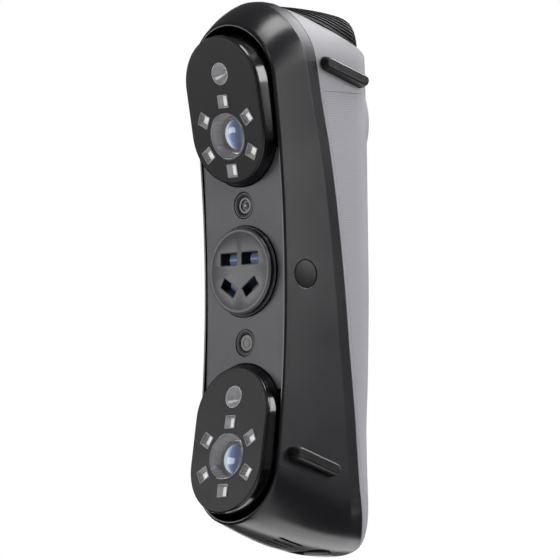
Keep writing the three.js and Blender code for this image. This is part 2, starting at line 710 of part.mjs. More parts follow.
function ledBoard({ lens, cup }) {
  const board = cut(
    plateY(uprightBar(POD_RADIUS - 2.2, -POD_HALF, POD_HALF, 8), [2.2, 3.2]),
    cylinderY(8.4, [-3, 8], 0, lens, 28),
    cylinderY(CUP_HOLE + 0.1, [-3, 8], 0, cup, 20),
  );
  return join(board, ...ledSquares(lens, LED.size, [-0.4, 2.7]));
}

for (const [name, pod] of Object.entries(PODS)) {
  add(name + "_pod_housing", podHousing(pod), "gloss");

  const group = new THREE.Group();
  group.rotation.x = POD_TILT * pod.lean;
  group.position.set(0, POD_Y, pod.z);
  scanner.add(group);
  const addTurned = (suffix, profile, segments, z, finish) =>
    add(name + suffix, solid(turned(profile, segments).translate(0, 0, z)), finish, group);

  add(name + "_pod_cover", podCover(pod), "satin", group);
  add(name + "_led_board", ledBoard(pod), "board", group);
  addTurned("_lens_cone", LENS_CONE, 24, pod.lens, "silver");
  addTurned("_lens_glass", LENS_GLASS, 18, pod.lens, "glass");
  addTurned("_lens_barrel", LENS_BARREL, 16, pod.lens, "black");
  const cameraBoard = box(around(0, 9), [13.7, 14.9], around(pod.lens, 9));
  add(name + "_camera_board", cameraBoard, "board", group);
  addTurned("_reflector", REFLECTOR, 16, pod.cup, "silver");
}

// ---------------------------------------------------------------- side feet and plugs
const FOOT_X = 26.5;
const FOOT_ANGLE = radians(-17); // each bar drops towards the back
const FOOT_HALF = 9.3; // half the distance between its end centres
const FEET = { upper: [28.9, 73.0], lower: [11.4, -70.3] }; // centre [y, z]
// [x, radius] from inside the wall out to the flat outer face
const FOOT_LEVELS = [[15, 2.75], [FOOT_X - 2.6, 2.2], [FOOT_X - 0.5, 1.7], [FOOT_X, 1.25]];

// a bar with round ends, narrow at its outer face and cut to fit the wall
function foot([centreY, centreZ]) {
  const cos = Math.cos(FOOT_ANGLE);
  const sin = Math.sin(FOOT_ANGLE);
  const rings = FOOT_LEVELS.map(([x, radius]) =>
    barOutline(radius, [-FOOT_HALF, 0], [FOOT_HALF, 0], 7).map(([along, up]) => [
      x,
      centreY + along * cos - up * sin,
      centreZ + along * sin + up * cos,
    ]),
  );
  const ends = [];
  for (let i = 1; i + 1 < rings[0].length; i++) ends.push([0, i + 1, i]);
  return cut(closedSkin(rings, ends), seat);
}
function addBothSides(suffix, made, finish) {
  add("left_" + suffix, made, finish);
  add("right_" + suffix, mirrored(made), finish);
}
for (const [name, centre] of Object.entries(FEET)) addBothSides(name + "_foot", foot(centre), "rubber");
addBothSides("side_plug", plugCylinder(PLUG.radius, [-2.0, 0]), "black");

// ---------------------------------------------------------------- rear control pad and buttons
const PAD_BASE_Y = backY(PAD.z);
const PAD_TOP_Y = PAD_BASE_Y + PAD.proud;
// flange: how far the retaining rim stands out; shoulder, rim and crown: heights above the pad
const SCAN_BUTTON = {
  radius: SCAN_RADIUS, stem: 2.2, flange: 0.7, shoulder: 0.7, bevel: 0.9, rim: 1.1, crown: 1.3,
};
const KEY_BUTTON = {
  radius: KEY_RADIUS, stem: 1.4, flange: 0.6, shoulder: 0.5, bevel: 0.5, rim: 0.8, crown: 0.9,
};

function controlPad() {
  const profile = [
    [0, PAD_BASE_Y - 4], [PAD.rx, PAD_BASE_Y - 4], [PAD.rx, PAD_TOP_Y - 0.7],
    [PAD.rx - 0.7, PAD_TOP_Y], [0, PAD_TOP_Y],
  ];
  const oval = turned(profile, 32).scale(1, 1, PAD.rz / PAD.rx).translate(0, 0, PAD.z);
  return cut(oval, seat, ...buttonHoles(0.3, 0.25));
}
function button({ radius, stem, flange, shoulder, bevel, rim, crown }, z, segments) {
  const profile = [
    [0, 44.6], [stem, 44.6], [stem, 45.0], [radius + flange, 45.0], [radius + flange, 45.5],
    [radius, 45.5], [radius, PAD_TOP_Y + shoulder], [radius - bevel, PAD_TOP_Y + rim],
    [0, PAD_TOP_Y + crown],
  ];
  return solid(turned(profile, segments).translate(0, 0, z));
}
// a board with a small square switch in front of each button's stem
function buttonBoard() {
  const switches = [0, KEY_OFFSET, -KEY_OFFSET].map((offset) =>
    box(around(0, 2), [42.5, 43.5], around(PAD.z + offset, 2)),
  );
  return join(box(around(0, 8), [41.6, 42.8], around(PAD.z, 18)), ...switches);
}
add("control_pad", controlPad(), "grey");
add("scan_button", button(SCAN_BUTTON, PAD.z, 28), "black");
add("plus_button", button(KEY_BUTTON, PAD.z + KEY_OFFSET, 16), "black");
add("minus_button", button(KEY_BUTTON, PAD.z - KEY_OFFSET, 16), "black");
add("button_board", buttonBoard(), "board");

// ---------------------------------------------------------------- optical frame and its screws
const FRAME_SPAN = [10.4, 12.9];
const FRAME_CUT = [5, 20];
// a plate with bevelled corners, [x, z]
const FRAME_OUTLINE = [
  [-19, -64], [-15, -70], [15, -70], [19, -64], [19, 62], [15, 68], [-15, 68], [-19, 62],
];
const BLOCK_GAP = 0.4;
const POST_PLACES = pairs(15, [40, -62]); // posts that reach back to the main board
const SCREW = [
  [0, 5.6], [0.95, 5.6], [0.95, 13.1], [2.3, 13.1], [2.3, 14.2], [1.6, 14.7], [0, 14.7],
]; // [radius, y]

function opticalFrame() {
  const blockZ = [BLOCK.bottom - BLOCK_GAP, BLOCK.top + BLOCK_GAP];
  const plate = cut(
    plateY(FRAME_OUTLINE, FRAME_SPAN),
    box(around(0, BLOCK.half + BLOCK_GAP), FRAME_CUT, blockZ),
    ...BOSS_PLACES.map(([x, z]) => cylinderY(1.5, FRAME_CUT, x, z, 12)),
    ...[44, -50].map((z) => box(around(0, 5), FRAME_CUT, around(z, 5))), // cable openings
  );
  return join(plate, ...POST_PLACES.map(([x, z]) => cylinderY(2, [12.5, 19.6], x, z, 12)));
}
add("optical_frame", opticalFrame(), "metal");
BOSS_PLACES.forEach(([x, z], i) => {
  add("frame_screw_" + (i + 1), solid(turned(SCREW, 12).translate(x, 0, z)), "steel");
});

// ---------------------------------------------------------------- main board and heat sink
const BOARD = { front: 19.9, back: 21.3 };
// chips on the main board: x span, z span, height
const CHIPS = [
  [[-13, -3], [30, 40], 1.6],
  [[4, 12], [29, 41], 1.2],
  [[-14, -6], [-46, -36], 1.4],
  [[2, 13], [-50, -40], 1.1],
  [[-9, 9], [-66, -60], 2.6],
];
const SINK_SPAN = [-28, 22];
const FIN = { count: 7, firstX: -13, pitch: 26 / 6, half: 0.6 };

function mainBoard() {
  const chips = CHIPS.map(([xSpan, zSpan, height]) => box(xSpan, [21, BOARD.back + height], zSpan));
  return join(box([-17.5, 17.5], [BOARD.front, BOARD.back], [-72, 46]), ...chips);
}
function heatSink() {
  const fins = Array.from({ length: FIN.count }, (_, i) =>
    box(around(FIN.firstX + i * FIN.pitch, FIN.half), [23.5, 33], SINK_SPAN),
  );
  return join(box([-14, 14], [21.7, 24], SINK_SPAN), ...fins);
}
add("main_board", mainBoard(), "board");
add("heat_sink", heatSink(), "metal");

// ---------------------------------------------------------------- fan
// a square frame with three arms that carry the bearing tube
function fanHousing() {
  const { bottom, top, half, bore } = FAN;
  const arms = [30, 150, 270].map((angle) =>
    new THREE.BoxGeometry(11.0, 1.1, 0.9)
      .translate(5.5, 0, 0)
      .rotateZ(radians(angle))
      .translate(0, FAN.y, bottom + 0.5),
  );
  const spider = cut(
    join(
      fanCylinder(3.6, [bottom, bottom + 1], 20),
      ...arms,
      fanCylinder(1.9, [bottom, bottom + 3.2], 20),
    ),
    fanCylinder(0.86, [bottom + 0.6, bottom + 5], 20),
  );
  const frame = box(around(0, half), around(FAN.y, half), [bottom, top]);
  return join(cut(frame, fanCylinder(bore, [bottom - 1, top + 1], 24)), spider);
}
// a hollow hub on a shaft, with blades trimmed to a round tip
function fanRotor() {
  const { bottom, top } = FAN;
  const hollow = fanCylinder(2.5, [bottom, top - 2], 20);
  const blades = Array.from({ length: 7 }, (_, i) =>
    new THREE.BoxGeometry(7.2, 0.8, 4.6)
      .rotateX(radians(38))
      .translate(6.4, 0, 0)
      .rotateZ((i * 2 * Math.PI) / 7)
      .translate(0, FAN.y, (bottom + top) / 2 + 0.3),
  );
  const wheel = join(
    cut(fanCylinder(3.9, [bottom + 1.5, top - 0.6], 24), hollow),
    fanCylinder(0.8, [bottom + 0.9, top - 1], 16),
    ...blades,
  );
  // keeps the space round the shaft clear
  const roundShaft = cut(hollow, fanCylinder(0.8, [bottom - 1, top + 1], 16));
  const tips = fanCylinder(10.1, [bottom - 1, top - 0.3], 32);
  return cut(wheel, roundShaft).intersect(solid(tips));
}
add("fan_housing", fanHousing(), "black");
add("fan_rotor", fanRotor(), "black");

// ---------------------------------------------------------------- bottom port
function portSeal() {
  return cut(
    plateZ(portOutline(PORT.radius - 0.3), [-100.6, -95.5]),
    plateZ(portOutline(PORT.radius - 1.5), [-105, -90]),
  );
}
const SOCKET = { endX: 2.8, radius: 1.6, bore: 1.1 }; // round-ended tube with a tongue inside
function dataSocket() {
  const tube = (radius, zSpan) =>
    plateZ(barOutline(radius, [-SOCKET.endX, PORT.y], [SOCKET.endX, PORT.y], 6), zSpan);
  const shell = cut(tube(SOCKET.radius, [-100.2, -92.6]), tube(SOCKET.bore, [-101, -94]));
  return join(shell, box([-3.2, 3.2], around(PORT.y, 0.35), [-99.4, -93.5]));
}
add("port_seal", portSeal(), "rubber");
add("data_socket", dataSocket(), "steel");

// ---------------------------------------------------------------- flat cables
// from the main board through the frame to each camera board: the middle line, [y, z]
const UPPER_CABLE = [
  [10.0, 42.4], [11.2, 43.2], [13.4, 44.4], [15.6, 44.9], [17.5, 44.0], [18.7, 41.8],
  [19.35, 38.5],
];
const LOWER_CABLE = [
  [7.5, -60.8], [8.0, -57.4], [9.3, -53.8], [11.5, -51.5], [14.2, -50.8], [16.9, -51.6],
  [18.6, -54], [19.35, -57.5],
];
const CABLE = { halfWidth: 3.5, halfThickness: 0.15 };

// a thin strip along the middle line
function flatCable(line) {
  const offsetLine = (offset) =>
    line.map(([y, z], i) => {
      const before = line[Math.max(0, i - 1)];
      const after = line[Math.min(line.length - 1, i + 1)];
      const runY = after[0] - before[0];
      const runZ = after[1] - before[1];
      const length = Math.hypot(runY, runZ);
      return [y - (runZ / length) * offset, z + (runY / length) * offset];
    });
  const outline = [
    ...offsetLine(CABLE.halfThickness),
    ...offsetLine(-CABLE.halfThickness).reverse(),
  ];
  return solid(plateX(outline, around(0, CABLE.halfWidth)));
}
add("upper_flex_cable", flatCable(UPPER_CABLE), "amber");
add("lower_flex_cable", flatCable(LOWER_CABLE), "amber");

// the frame's origin is the centre of the whole scanner's bounding box
scanner.updateMatrixWorld(true);
const middle = new THREE.Box3().setFromObject(scanner, true).getCenter(new THREE.Vector3());
scanner.position.set(0, -middle.y, -middle.z);

export default scanner;
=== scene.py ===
"""Looks of a handheld stereo 3-D scanner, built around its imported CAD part.

The scanner faces -Y, up is +Z and its left side is +X. Pieces are laid out in millimetres from
the point where the projector's axis meets the front surface, then moved into the part's frame.
"""
from math import atan, cos, hypot, pi, radians, sin, sqrt

import bmesh
import bpy
import numpy as np
from mathutils import Matrix, Vector


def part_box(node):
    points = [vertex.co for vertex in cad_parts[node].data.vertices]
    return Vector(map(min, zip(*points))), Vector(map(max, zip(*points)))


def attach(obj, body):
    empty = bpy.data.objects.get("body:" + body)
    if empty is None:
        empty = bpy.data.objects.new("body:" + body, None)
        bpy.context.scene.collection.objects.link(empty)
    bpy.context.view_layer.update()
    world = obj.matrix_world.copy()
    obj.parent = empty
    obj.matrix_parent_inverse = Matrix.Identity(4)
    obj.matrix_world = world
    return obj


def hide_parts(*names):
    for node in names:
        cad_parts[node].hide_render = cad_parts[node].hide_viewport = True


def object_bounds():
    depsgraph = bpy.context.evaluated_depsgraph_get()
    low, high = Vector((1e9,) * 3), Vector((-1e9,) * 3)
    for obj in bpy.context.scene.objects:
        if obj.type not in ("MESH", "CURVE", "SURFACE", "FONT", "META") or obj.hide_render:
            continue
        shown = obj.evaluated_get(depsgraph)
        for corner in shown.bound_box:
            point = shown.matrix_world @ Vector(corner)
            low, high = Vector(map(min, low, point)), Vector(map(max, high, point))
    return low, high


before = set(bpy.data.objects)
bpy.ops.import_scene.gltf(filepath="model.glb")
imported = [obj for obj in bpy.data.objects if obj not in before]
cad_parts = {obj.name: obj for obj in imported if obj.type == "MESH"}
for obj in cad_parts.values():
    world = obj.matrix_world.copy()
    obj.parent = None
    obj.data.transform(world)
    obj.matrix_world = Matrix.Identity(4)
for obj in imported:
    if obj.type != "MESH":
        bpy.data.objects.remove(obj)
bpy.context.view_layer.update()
COLLECTION = bpy.context.scene.collection
MM = 0.001

# ---------------------------------------------------------------- design numbers, mm
DISC_PROUD = 2.7  # how far the projector stands out of the front
disc_low, disc_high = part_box("projector_housing")
ORIGIN_Y = disc_low.y * 1000 + DISC_PROUD
ORIGIN_Z = (disc_low.z + disc_high.z) * 500

# Housing: half widths and the heights of its ends
FRONT_R = 620
LIP_W, BODY_W, SEAM_W = 21.2, 23.8, 23.1
LIP_TOP, LIP_BOTTOM = 90.7, -92.9
TOP_Z, BOTTOM_Z = 100.1, -103.9
FULL_TOP, FULL_BOTTOM = TOP_Z - BODY_W, BOTTOM_Z + BODY_W
TOP_RISE, BOTTOM_RISE = 18, 56  # depth over which each end swells to full size
BOTTOM_SQUARE = 2.8  # exponent of the squarish bottom end
CREASE = 5.8  # from the crease back to the seam
LIP_BEVEL = 0.75
WALL = 2.2
INNER_START = 3.0  # y where the hollow begins
REAR_CORNER, END_CORNER = 12.6, 1.6
CLEARANCE = 0.12  # each shell stops this far from the seam
# (z, y) of the seam between the shells
SEAM = [
    (-110, 42.2), (-104, 42.0), (-101.5, 41.8), (-98.4, 40.5), (-94.2, 38.4), (-86, 36.1),
    (-80, 35.1), (-74.7, 34.6), (-53.3, 33.1), (-25.4, 30.4), (-9, 29), (22.6, 25.3),
    (44.8, 21.7), (63.3, 17.7), (71.4, 16.3), (78.9, 14.8), (84.9, 13.6), (90.2, 12.1),
    (95.5, 10.9), (101, 10.2)]
# (z, y) of the back surface
BACK = [
    (-110, 43.6), (-95, 44.4), (-83, 44.8), (-70, 45.5), (-52, 46.8), (-37, 47.7), (0, 48.7),
    (40, 48.7), (73, 48.2), (101, 47.4)]
SEAM_END_Z = -100
SLOPE_Y, SLOPE_Z, SLOPE = 10.7, 96.5, 0.507  # line under the cap: a point and its fall
REGION_BACK, REGION_HALF = 64, 60  # cutting regions reach past the housing
# Front opening and panel
OPEN_R, OPEN_TOP, OPEN_BOTTOM, OPEN_DEPTH = 20.1, 69.5, -71.7, 3.6
PANEL_R, PANEL_BACK, PANEL_SINK, PANEL_END = 19.8, 2.0, 0.4, 44
CAMERA_Z, RANGE_Z = 24.2, -26.2
# Pods: y, z = middle of the tilted face; lens, cup = heights up the face;
# base = z of the lower and upper arc centres
POD_TILT = radians(10)
POD_R, POD_HALF, POD_BASE_R = 18.48, 8.87, 19.45
PODS = {
    "upper": dict(y=-9.3, z=58.65, sign=1, lens=-9.5, cup=13.5, base=(50.6, 69.3)),
    "lower": dict(y=-9.3, z=-61.85, sign=-1, lens=-6.25, cup=16.0, base=(-71.5, -53.4)),
}
LED_RING = 12.8
# Projector windows: name, x, z, width, height, turn in degrees
WINDOWS = [
    ("upper_left", -5.4, 4.6, 8.7, 4.8, 0), ("upper_right", 5.4, 4.6, 8.7, 4.8, 0),
    ("lower_left", -5.5, -5.9, 8.0, 4.3, -32), ("lower_right", 5.5, -5.9, 8.0, 4.3, 32)]
# Side feet and plugs
FOOT_X, FOOT_ANGLE, FOOT_HALF = 26.5, radians(17), 9.3
FOOT_BEVEL = 0.14
FEET = {"upper": (28.9, 73.0), "lower": (11.4, -70.3)}  # y, z
PLUG_Y, PLUG_Z, PLUG_R = 9.4, -1.8, 5.1
SIDES = (("left", 1), ("right", -1))
# Rear controls
PAD_Z, PAD_RX, PAD_RZ, PAD_PROUD = 56.2, 16.3, 20.5, 1.3
SCAN_R, KEY_R, KEY_OFFSET = 6.4, 3.8, 13.0
# Top cap
CAP_R, CAP_CENTRE_Z, CAP_SQUARE, CAP_BACK = 22.4, 75.8, 3.5, 42.3
CAP_SIDE_CORNER, CAP_TOP_CORNER = 5.5, 1.8
# Openings in the bottom
SLOT_XS = (-7.4, -3.7, 0, 3.7, 7.4)
SLOT_R, SLOT_FRONT, SLOT_BACK = 0.7, 9.7, 19.8
PORT_Y, PORT_HALF, PORT_R = 31, 5.6, 4.4
# Textured grip on the rear shell
GRIP_EDGE, GRIP_TOP = 1.4, 65.5
# (y, z) of the curve that closes the grip at the bottom
GRIP_END = [
    (36.9, -77.5), (37.6, -79.6), (38.6, -81.5), (39.8, -83.1), (41.2, -84.3), (42.6, -85.1),
    (44.2, -85.6)]


def mix(start, end, t):
    return start + (end - start) * t


def clamp(value, low, high):
    return min(high, max(low, value))


def curve(points):
    """A smooth curve without overshoot through (input, value) points, held at its ends."""
    last = len(points) - 1
    slopes = [(points[i + 1][1] - points[i][1]) / (points[i + 1][0] - points[i][0])
              for i in range(last)]
    tangents = [slopes[0]]
    for before, after in zip(slopes, slopes[1:]):
        flat = before * after <= 0
        tangents.append(0 if flat else 2 * before * after / (before + after))
    tangents.append(slopes[-1])

    def value(at):
        x = clamp(at, points[0][0], points[-1][0])
        i = 0
        while i < last - 1 and x > points[i + 1][0]:
            i += 1
        step = points[i + 1][0] - points[i][0]
        t = (x - points[i][0]) / step
        t2, t3 = t * t, t * t * t
        return ((2 * t3 - 3 * t2 + 1) * points[i][1] + (t3 - 2 * t2 + t) * step * tangents[i]
                + (-2 * t3 + 3 * t2) * points[i + 1][1] + (t3 - t2) * step * tangents[i + 1])
    return value


seam_y, back_y = curve(SEAM), curve(BACK)


def front_y(z):
    return -z * z / (2 * FRONT_R)


def slope_z(y):
    return SLOPE_Z - SLOPE * (y - SLOPE_Y)


# ---------------------------------------------------------------- outlines
def turned(points, angle, at=(0, 0)):
    c, s = cos(angle), sin(angle)
    return [(at[0] + a * c - b * s, at[1] + a * s + b * c) for a, b in points]


def stadium(r, low, high, count=40):
    """Two half circles joined by straights, long in the second coordinate."""
    points = [(r * cos(i / count * pi), high + r * sin(i / count * pi))
              for i in range(count + 1)]
    return points + [(r * cos(pi + i / count * pi), low + r * sin(pi + i / count * pi))
                     for i in range(count + 1)]


def flat_stadium(r, half, count):
    """A stadium lying along the first coordinate."""
    return [(b, -a) for a, b in stadium(r, -half, half, count)]


def rounded_rect(x0, x1, z0, z1, r, count):
    corners = ((x1 - r, z1 - r, 0), (x0 + r, z1 - r, 90),
               (x0 + r, z0 + r, 180), (x1 - r, z0 + r, 270))
    return [(x + r * cos(radians(start + 90 * i / count)),
             z + r * sin(radians(start + 90 * i / count)))
            for x, z, start in corners for i in range(count + 1)]


def turned_rect(x, z, width, height, degrees, r=0.25):
    corners = rounded_rect(-width / 2, width / 2, -height / 2, height / 2, r, 3)
    return turned(corners, radians(degrees), (x, z))


def port_outline(r):
    return [(x, PORT_Y + y) for x, y in flat_stadium(r, PORT_HALF, 16)]


# ---------------------------------------------------------------- shapes: (vertices, faces)
def join(shapes):
    all_verts, all_faces = [], []
    for verts, faces in shapes:
        start = len(all_verts)
        all_verts += list(verts)
        all_faces += [tuple(i + start for i in face) for face in faces]
    return all_verts, all_faces


def moved_points(points, matrix):
    return [tuple(matrix @ Vector(point)) for point in points]


def moved(shape, matrix):
    return moved_points(shape[0], matrix), shape[1]


def mirrored(shape, side):
    """The shape as it is for side 1, flipped in x for side -1."""
    return [(side * x, y, z) for x, y, z in shape[0]], shape[1]


def shift(x, y, z):
    return Matrix.Translation((x, y, z))


def turn(angle, axis="Y"):
    return Matrix.Rotation(angle, 4, axis)


def loft(half_rings):
    """Half outlines (x >= 0, from top to bottom), mirrored and joined into a closed solid."""
    half = len(half_rings[0])
    full = 2 * (half - 1)
    verts, faces = [], []
    for ring in half_rings:
        for i, point in enumerate(ring):
            verts.append((0.0, point[1], point[2]) if i in (0, half - 1) else tuple(point))
        for x, y, z in ring[half - 2:0:-1]:
            verts.append((-x, y, z))
    for k in range(len(half_rings) - 1):
        for i in range(full):
            j = (i + 1) % full
            faces.append((k * full + i, k * full + j, (k + 1) * full + j, (k + 1) * full + i))
    for o in (0, (len(half_rings) - 1) * full):
        faces.append((o, o + 1, o + full - 1))
        for i in range(1, half - 2):
            faces.append((o + i, o + i + 1, o + full - i - 1, o + full - i))
        faces.append((o + half - 2, o + half - 1, o + half))
    return verts, faces


def stacked(rings):
    """Whole rings of equal length joined into a closed solid."""
    n, last = len(rings[0]), len(rings) - 1
    faces = []
    for k in range(last):
        for i in range(n):
            j = (i + 1) % n
            faces.append((k * n + i, k * n + j, (k + 1) * n + j, (k + 1) * n + i))
    faces.append(tuple(range(n)))
    faces.append(tuple(range((last + 1) * n - 1, last * n - 1, -1)))
    return [point for ring in rings for point in ring], faces


def prism(outline, start, end, axis):
    """A flat outline made thick: axis y takes (x, z), x takes (y, z), z takes (x, y)."""
    n = len(outline)
    place = {"y": lambda a, b, depth: (a, depth, b),
             "x": lambda a, b, depth: (depth, a, b),
             "z": lambda a, b, depth: (a, b, depth)}[axis]
    verts = [place(a, b, depth) for depth in (start, end) for a, b in outline]
    faces = [tuple(range(n)), tuple(range(2 * n - 1, n - 1, -1))]
    faces += [(i, (i + 1) % n, n + (i + 1) % n, n + i) for i in range(n)]
    return verts, faces


def lathe(profile, count, z=0.0, z_stretch=1.0):
    """(radius, y) points turned round Y. They run axis to axis, or close on themselves."""
    verts, faces, rows = [], [], []
    for r, y in profile:
        if r < 1e-9:
            rows.append([len(verts)])
            verts.append((0.0, y, z))
            continue
        rows.append(range(len(verts), len(verts) + count))
        for i in range(count):
            a = 2 * pi * i / count
            verts.append((r * cos(a), y, z + z_stretch * r * sin(a)))
    pairs = list(zip(rows, rows[1:]))
    if profile[0][0] > 1e-9:
        pairs.append((rows[-1], rows[0]))
    for this, following in pairs:
        for i in range(count):
            j = (i + 1) % count
            if len(this) == 1:
                faces.append((this[0], following[i], following[j]))
            elif len(following) == 1:
                faces.append((this[i], following[0], this[j]))
            else:
                faces.append((this[i], following[i], following[j], this[j]))
    return verts, faces


def cylinder(r, y0, y1, count, z=0.0, z_stretch=1.0):
    return lathe([(0, y0), (r, y0), (r, y1), (0, y1)], count, z, z_stretch)


def box(x0, x1, y0, y1, z0, z1):
    return prism([(x0, z0), (x1, z0), (x1, z1), (x0, z1)], y0, y1, "y")


def soft_box(x0, x1, y0, y1, z0, z1, bevel, count=2):
    """A box with rounded outline corners and a rounded front (-Y) edge."""
    rings = []
    for inset, y in ((bevel, y0), (bevel * 0.3, y0 + bevel * 0.3), (0, y0 + bevel), (0, y1)):
        outline = rounded_rect(x0 + inset, x1 - inset, z0 + inset, z1 - inset,
                               max(bevel * 1.6 - inset, 0.02), count)
        rings.append([(x, y, z) for x, z in outline])
    return stacked(rings)


# ---------------------------------------------------------------- objects
def to_frame(point):
    return point[0] * MM, (point[1] + ORIGIN_Y) * MM, (point[2] + ORIGIN_Z) * MM


def solid(name, shape):
    mesh = bpy.data.meshes.new(name)
    mesh.from_pydata([to_frame(point) for point in shape[0]], [], shape[1])
    mesh.validate()
    bm = bmesh.new()
    bm.from_mesh(mesh)
    bmesh.ops.remove_doubles(bm, verts=bm.verts, dist=1e-8)
    bmesh.ops.recalc_face_normals(bm, faces=bm.faces)
    bm.to_mesh(mesh)
    bm.free()
    ob = bpy.data.objects.new(name, mesh)
    COLLECTION.objects.link(ob)
    return ob


def boolean(ob, tool, operation="DIFFERENCE"):
    """Apply a boolean to the object and use up the tool."""
    modifier = ob.modifiers.new("b", "BOOLEAN")
    modifier.operation = operation
    modifier.object = tool
    modifier.solver = "MANIFOLD"
    bpy.context.view_layer.update()
    depsgraph = bpy.context.evaluated_depsgraph_get()
    mesh = bpy.data.meshes.new_from_object(ob.evaluated_get(depsgraph))
    ob.modifiers.clear()
    old, tool_mesh = ob.data, tool.data
    ob.data = mesh
    bpy.data.meshes.remove(old)
    bpy.data.objects.remove(tool)
    bpy.data.meshes.remove(tool_mesh)
    if len(mesh.polygons) == 0:
        raise RuntimeError(f"boolean left {ob.name} empty")
    return ob


def cut(ob, shape, operation="DIFFERENCE"):
    return boolean(ob, solid("cutter", shape), operation)


def finish(ob, materials, slot, replaces=None, body="scanner", angle=32, pick=None):
    """pick chooses the material from a face's middle in design mm and its normal.
    """
    mesh = ob.data
    mesh.materials.clear()
    for name in materials:
        mesh.materials.append(MATERIALS[name])
    bm = bmesh.new()
    bm.from_mesh(mesh)
    bmesh.ops.remove_doubles(bm, verts=bm.verts, dist=2e-7)
    bmesh.ops.dissolve_degenerate(bm, edges=bm.edges, dist=1e-7)
    for face in bm.faces:
        face.smooth = True
        if pick:
            middle = face.calc_center_median() / MM
            middle = Vector((middle.x, middle.y - ORIGIN_Y, middle.z - ORIGIN_Z))
            face.material_index = pick(middle, face.normal)
    bm.to_mesh(mesh)
    bm.free()
    mesh.set_sharp_from_angle(angle=radians(angle))
    if replaces:
        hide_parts(replaces)
    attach(ob, body)


def piece(name, shape, materials, slot, cuts=(), **finishing):
    """A finished piece with the cuts taken out of it in order."""
    ob = solid(name, shape)
    for shape_out in cuts:
        cut(ob, shape_out)
    finish(ob, materials, slot, **finishing)


# ---------------------------------------------------------------- shader tools
def set_inputs(tree, node, inputs):
    """Link an input where a socket is given, and set its value otherwise."""
    for key, value in inputs.items():
        if isinstance(value, bpy.types.NodeSocket):
            tree.links.new(value, node.inputs[key])
        else:
            node.inputs[key].default_value = value


def add_node(tree, kind, inputs=None, **settings):
    node = tree.nodes.new("ShaderNode" + kind)
    for key, value in settings.items():
        setattr(node, key, value)
    set_inputs(tree, node, inputs or {})
    return node


def map_range(tree, value, from_range, to_range):
    return add_node(tree, "MapRange", {
        "Value": value, "From Min": from_range[0], "From Max": from_range[1],
        "To Min": to_range[0], "To Max": to_range[1]}).outputs[0]


def color_ramp(tree, factor, stops):
    node = add_node(tree, "ValToRGB", {0: factor})
    elements = node.color_ramp.elements
    elements[0].position, elements[0].color = stops[0]
    elements[1].position, elements[1].color = stops[-1]
    for position, color in stops[1:-1]:
        elements.new(position).color = color
    return node.outputs[0]


def new_material(name):
    made = bpy.data.materials.new(name)
    made.use_nodes = True
    tree = made.node_tree
    tree.nodes.clear()
    output = add_node(tree, "OutputMaterial")
    shader = add_node(tree, "BsdfPrincipled")
    tree.links.new(shader.outputs[0], output.inputs[0])
    return made, tree, shader


def srgb(*color):
    """Linear RGBA from sRGB values of 0 to 255."""
    shares = [v / 255 for v in color]
    return tuple(v / 12.92 if v <= 0.04045 else ((v + 0.055) / 1.055) ** 2.4
                 for v in shares) + (1.0,)


MATERIALS = {}


def surface(name, color, rough, metal=0.0, ior=1.5, grain=0.0, grain_scale=2500, tone=0.06,
            rough_var=0.05, edge_wear_and_highlight=0.12, edge=0.25, coat=0.0, spec=0.5, lines=None,
            glow=None, painted_glow_strength=0.0):
    """Moulded or machined surface with drifting colour and roughness, and lighter edges that are
    partly wear and partly a painted edge highlight.

    tone and rough_var are the drifts, edge is the shading radius of edges in mm, the edge wear
    and highlight setting is how light the edges get (wear plus a painted highlight on the edges),
    grain is fine bump and lines is a banded bump. Colours are sRGB.
    """
    base = srgb(*color)
    made, tree, shader = new_material(name)
    place = add_node(tree, "TexCoord").outputs["Object"]
    drift = add_node(tree, "TexNoise", {"Scale": 55, "Detail": 5, "Vector": place})
    drift = drift.outputs["Fac"]
    shade = map_range(tree, drift, (0.3, 0.7), (1 - tone, 1 + tone))
    drifted = add_node(tree, "Mix", {"Factor": 1, 6: base, 7: shade},
                       data_type="RGBA", blend_type="MULTIPLY")
    # Edges show where the rounded normal leaves the true one.
    normal = add_node(tree, "Bevel", {"Radius": edge * MM}, samples=4).outputs[0]
    geometry = add_node(tree, "NewGeometry")
    match = add_node(tree, "VectorMath", {0: normal, 1: geometry.outputs["Normal"]},
                     operation="DOT_PRODUCT")
    # Edges are lightened in colour: partly wear, partly a painted edge highlight.
    edge_wear_and_highlight_mask = map_range(tree, match.outputs["Value"], (0.99, 0.8), (0, edge_wear_and_highlight))
    lighter = tuple(min(1, v * 2.2 + 0.05) for v in base[:3]) + (1,)
    mixed = add_node(tree, "Mix", {"Factor": edge_wear_and_highlight_mask, 6: drifted.outputs[2], 7: lighter},
                     data_type="RGBA")
    roughness = map_range(tree, drift, (0.3, 0.7),
                          (max(0.02, rough - rough_var), min(1, rough + rough_var)))
    if grain > 0:
        fine = add_node(tree, "TexNoise", {"Scale": grain_scale, "Detail": 2, "Vector": place})
        normal = add_node(tree, "Bump", {
            "Strength": grain, "Distance": 0.00005, "Height": fine.outputs["Fac"],
            "Normal": normal}).outputs[0]
    if lines:
        wave = add_node(tree, "TexWave", {
            "Scale": 2 * pi / (lines["pitch"] * MM) / 20, "Distortion": lines["distortion"],
            "Detail": 0, "Vector": place}, wave_type="BANDS", bands_direction="Z")
        normal = add_node(tree, "Bump", {
            "Strength": lines["strength"], "Distance": 0.0001, "Height": wave.outputs["Fac"],
            "Normal": normal}).outputs[0]
    set_inputs(tree, shader, {
        "Base Color": mixed.outputs[2], "Roughness": roughness, "Normal": normal,
        "Metallic": metal, "IOR": ior, "Specular IOR Level": spec, "Coat Weight": coat,
        "Coat Roughness": 0.05})
    # glow is painted light: an emission that brightens parts that sit in shade.
    if glow:
        set_inputs(tree, shader, {"Emission Color": srgb(*glow),
                                  "Emission Strength": painted_glow_strength})
    MATERIALS[name] = made


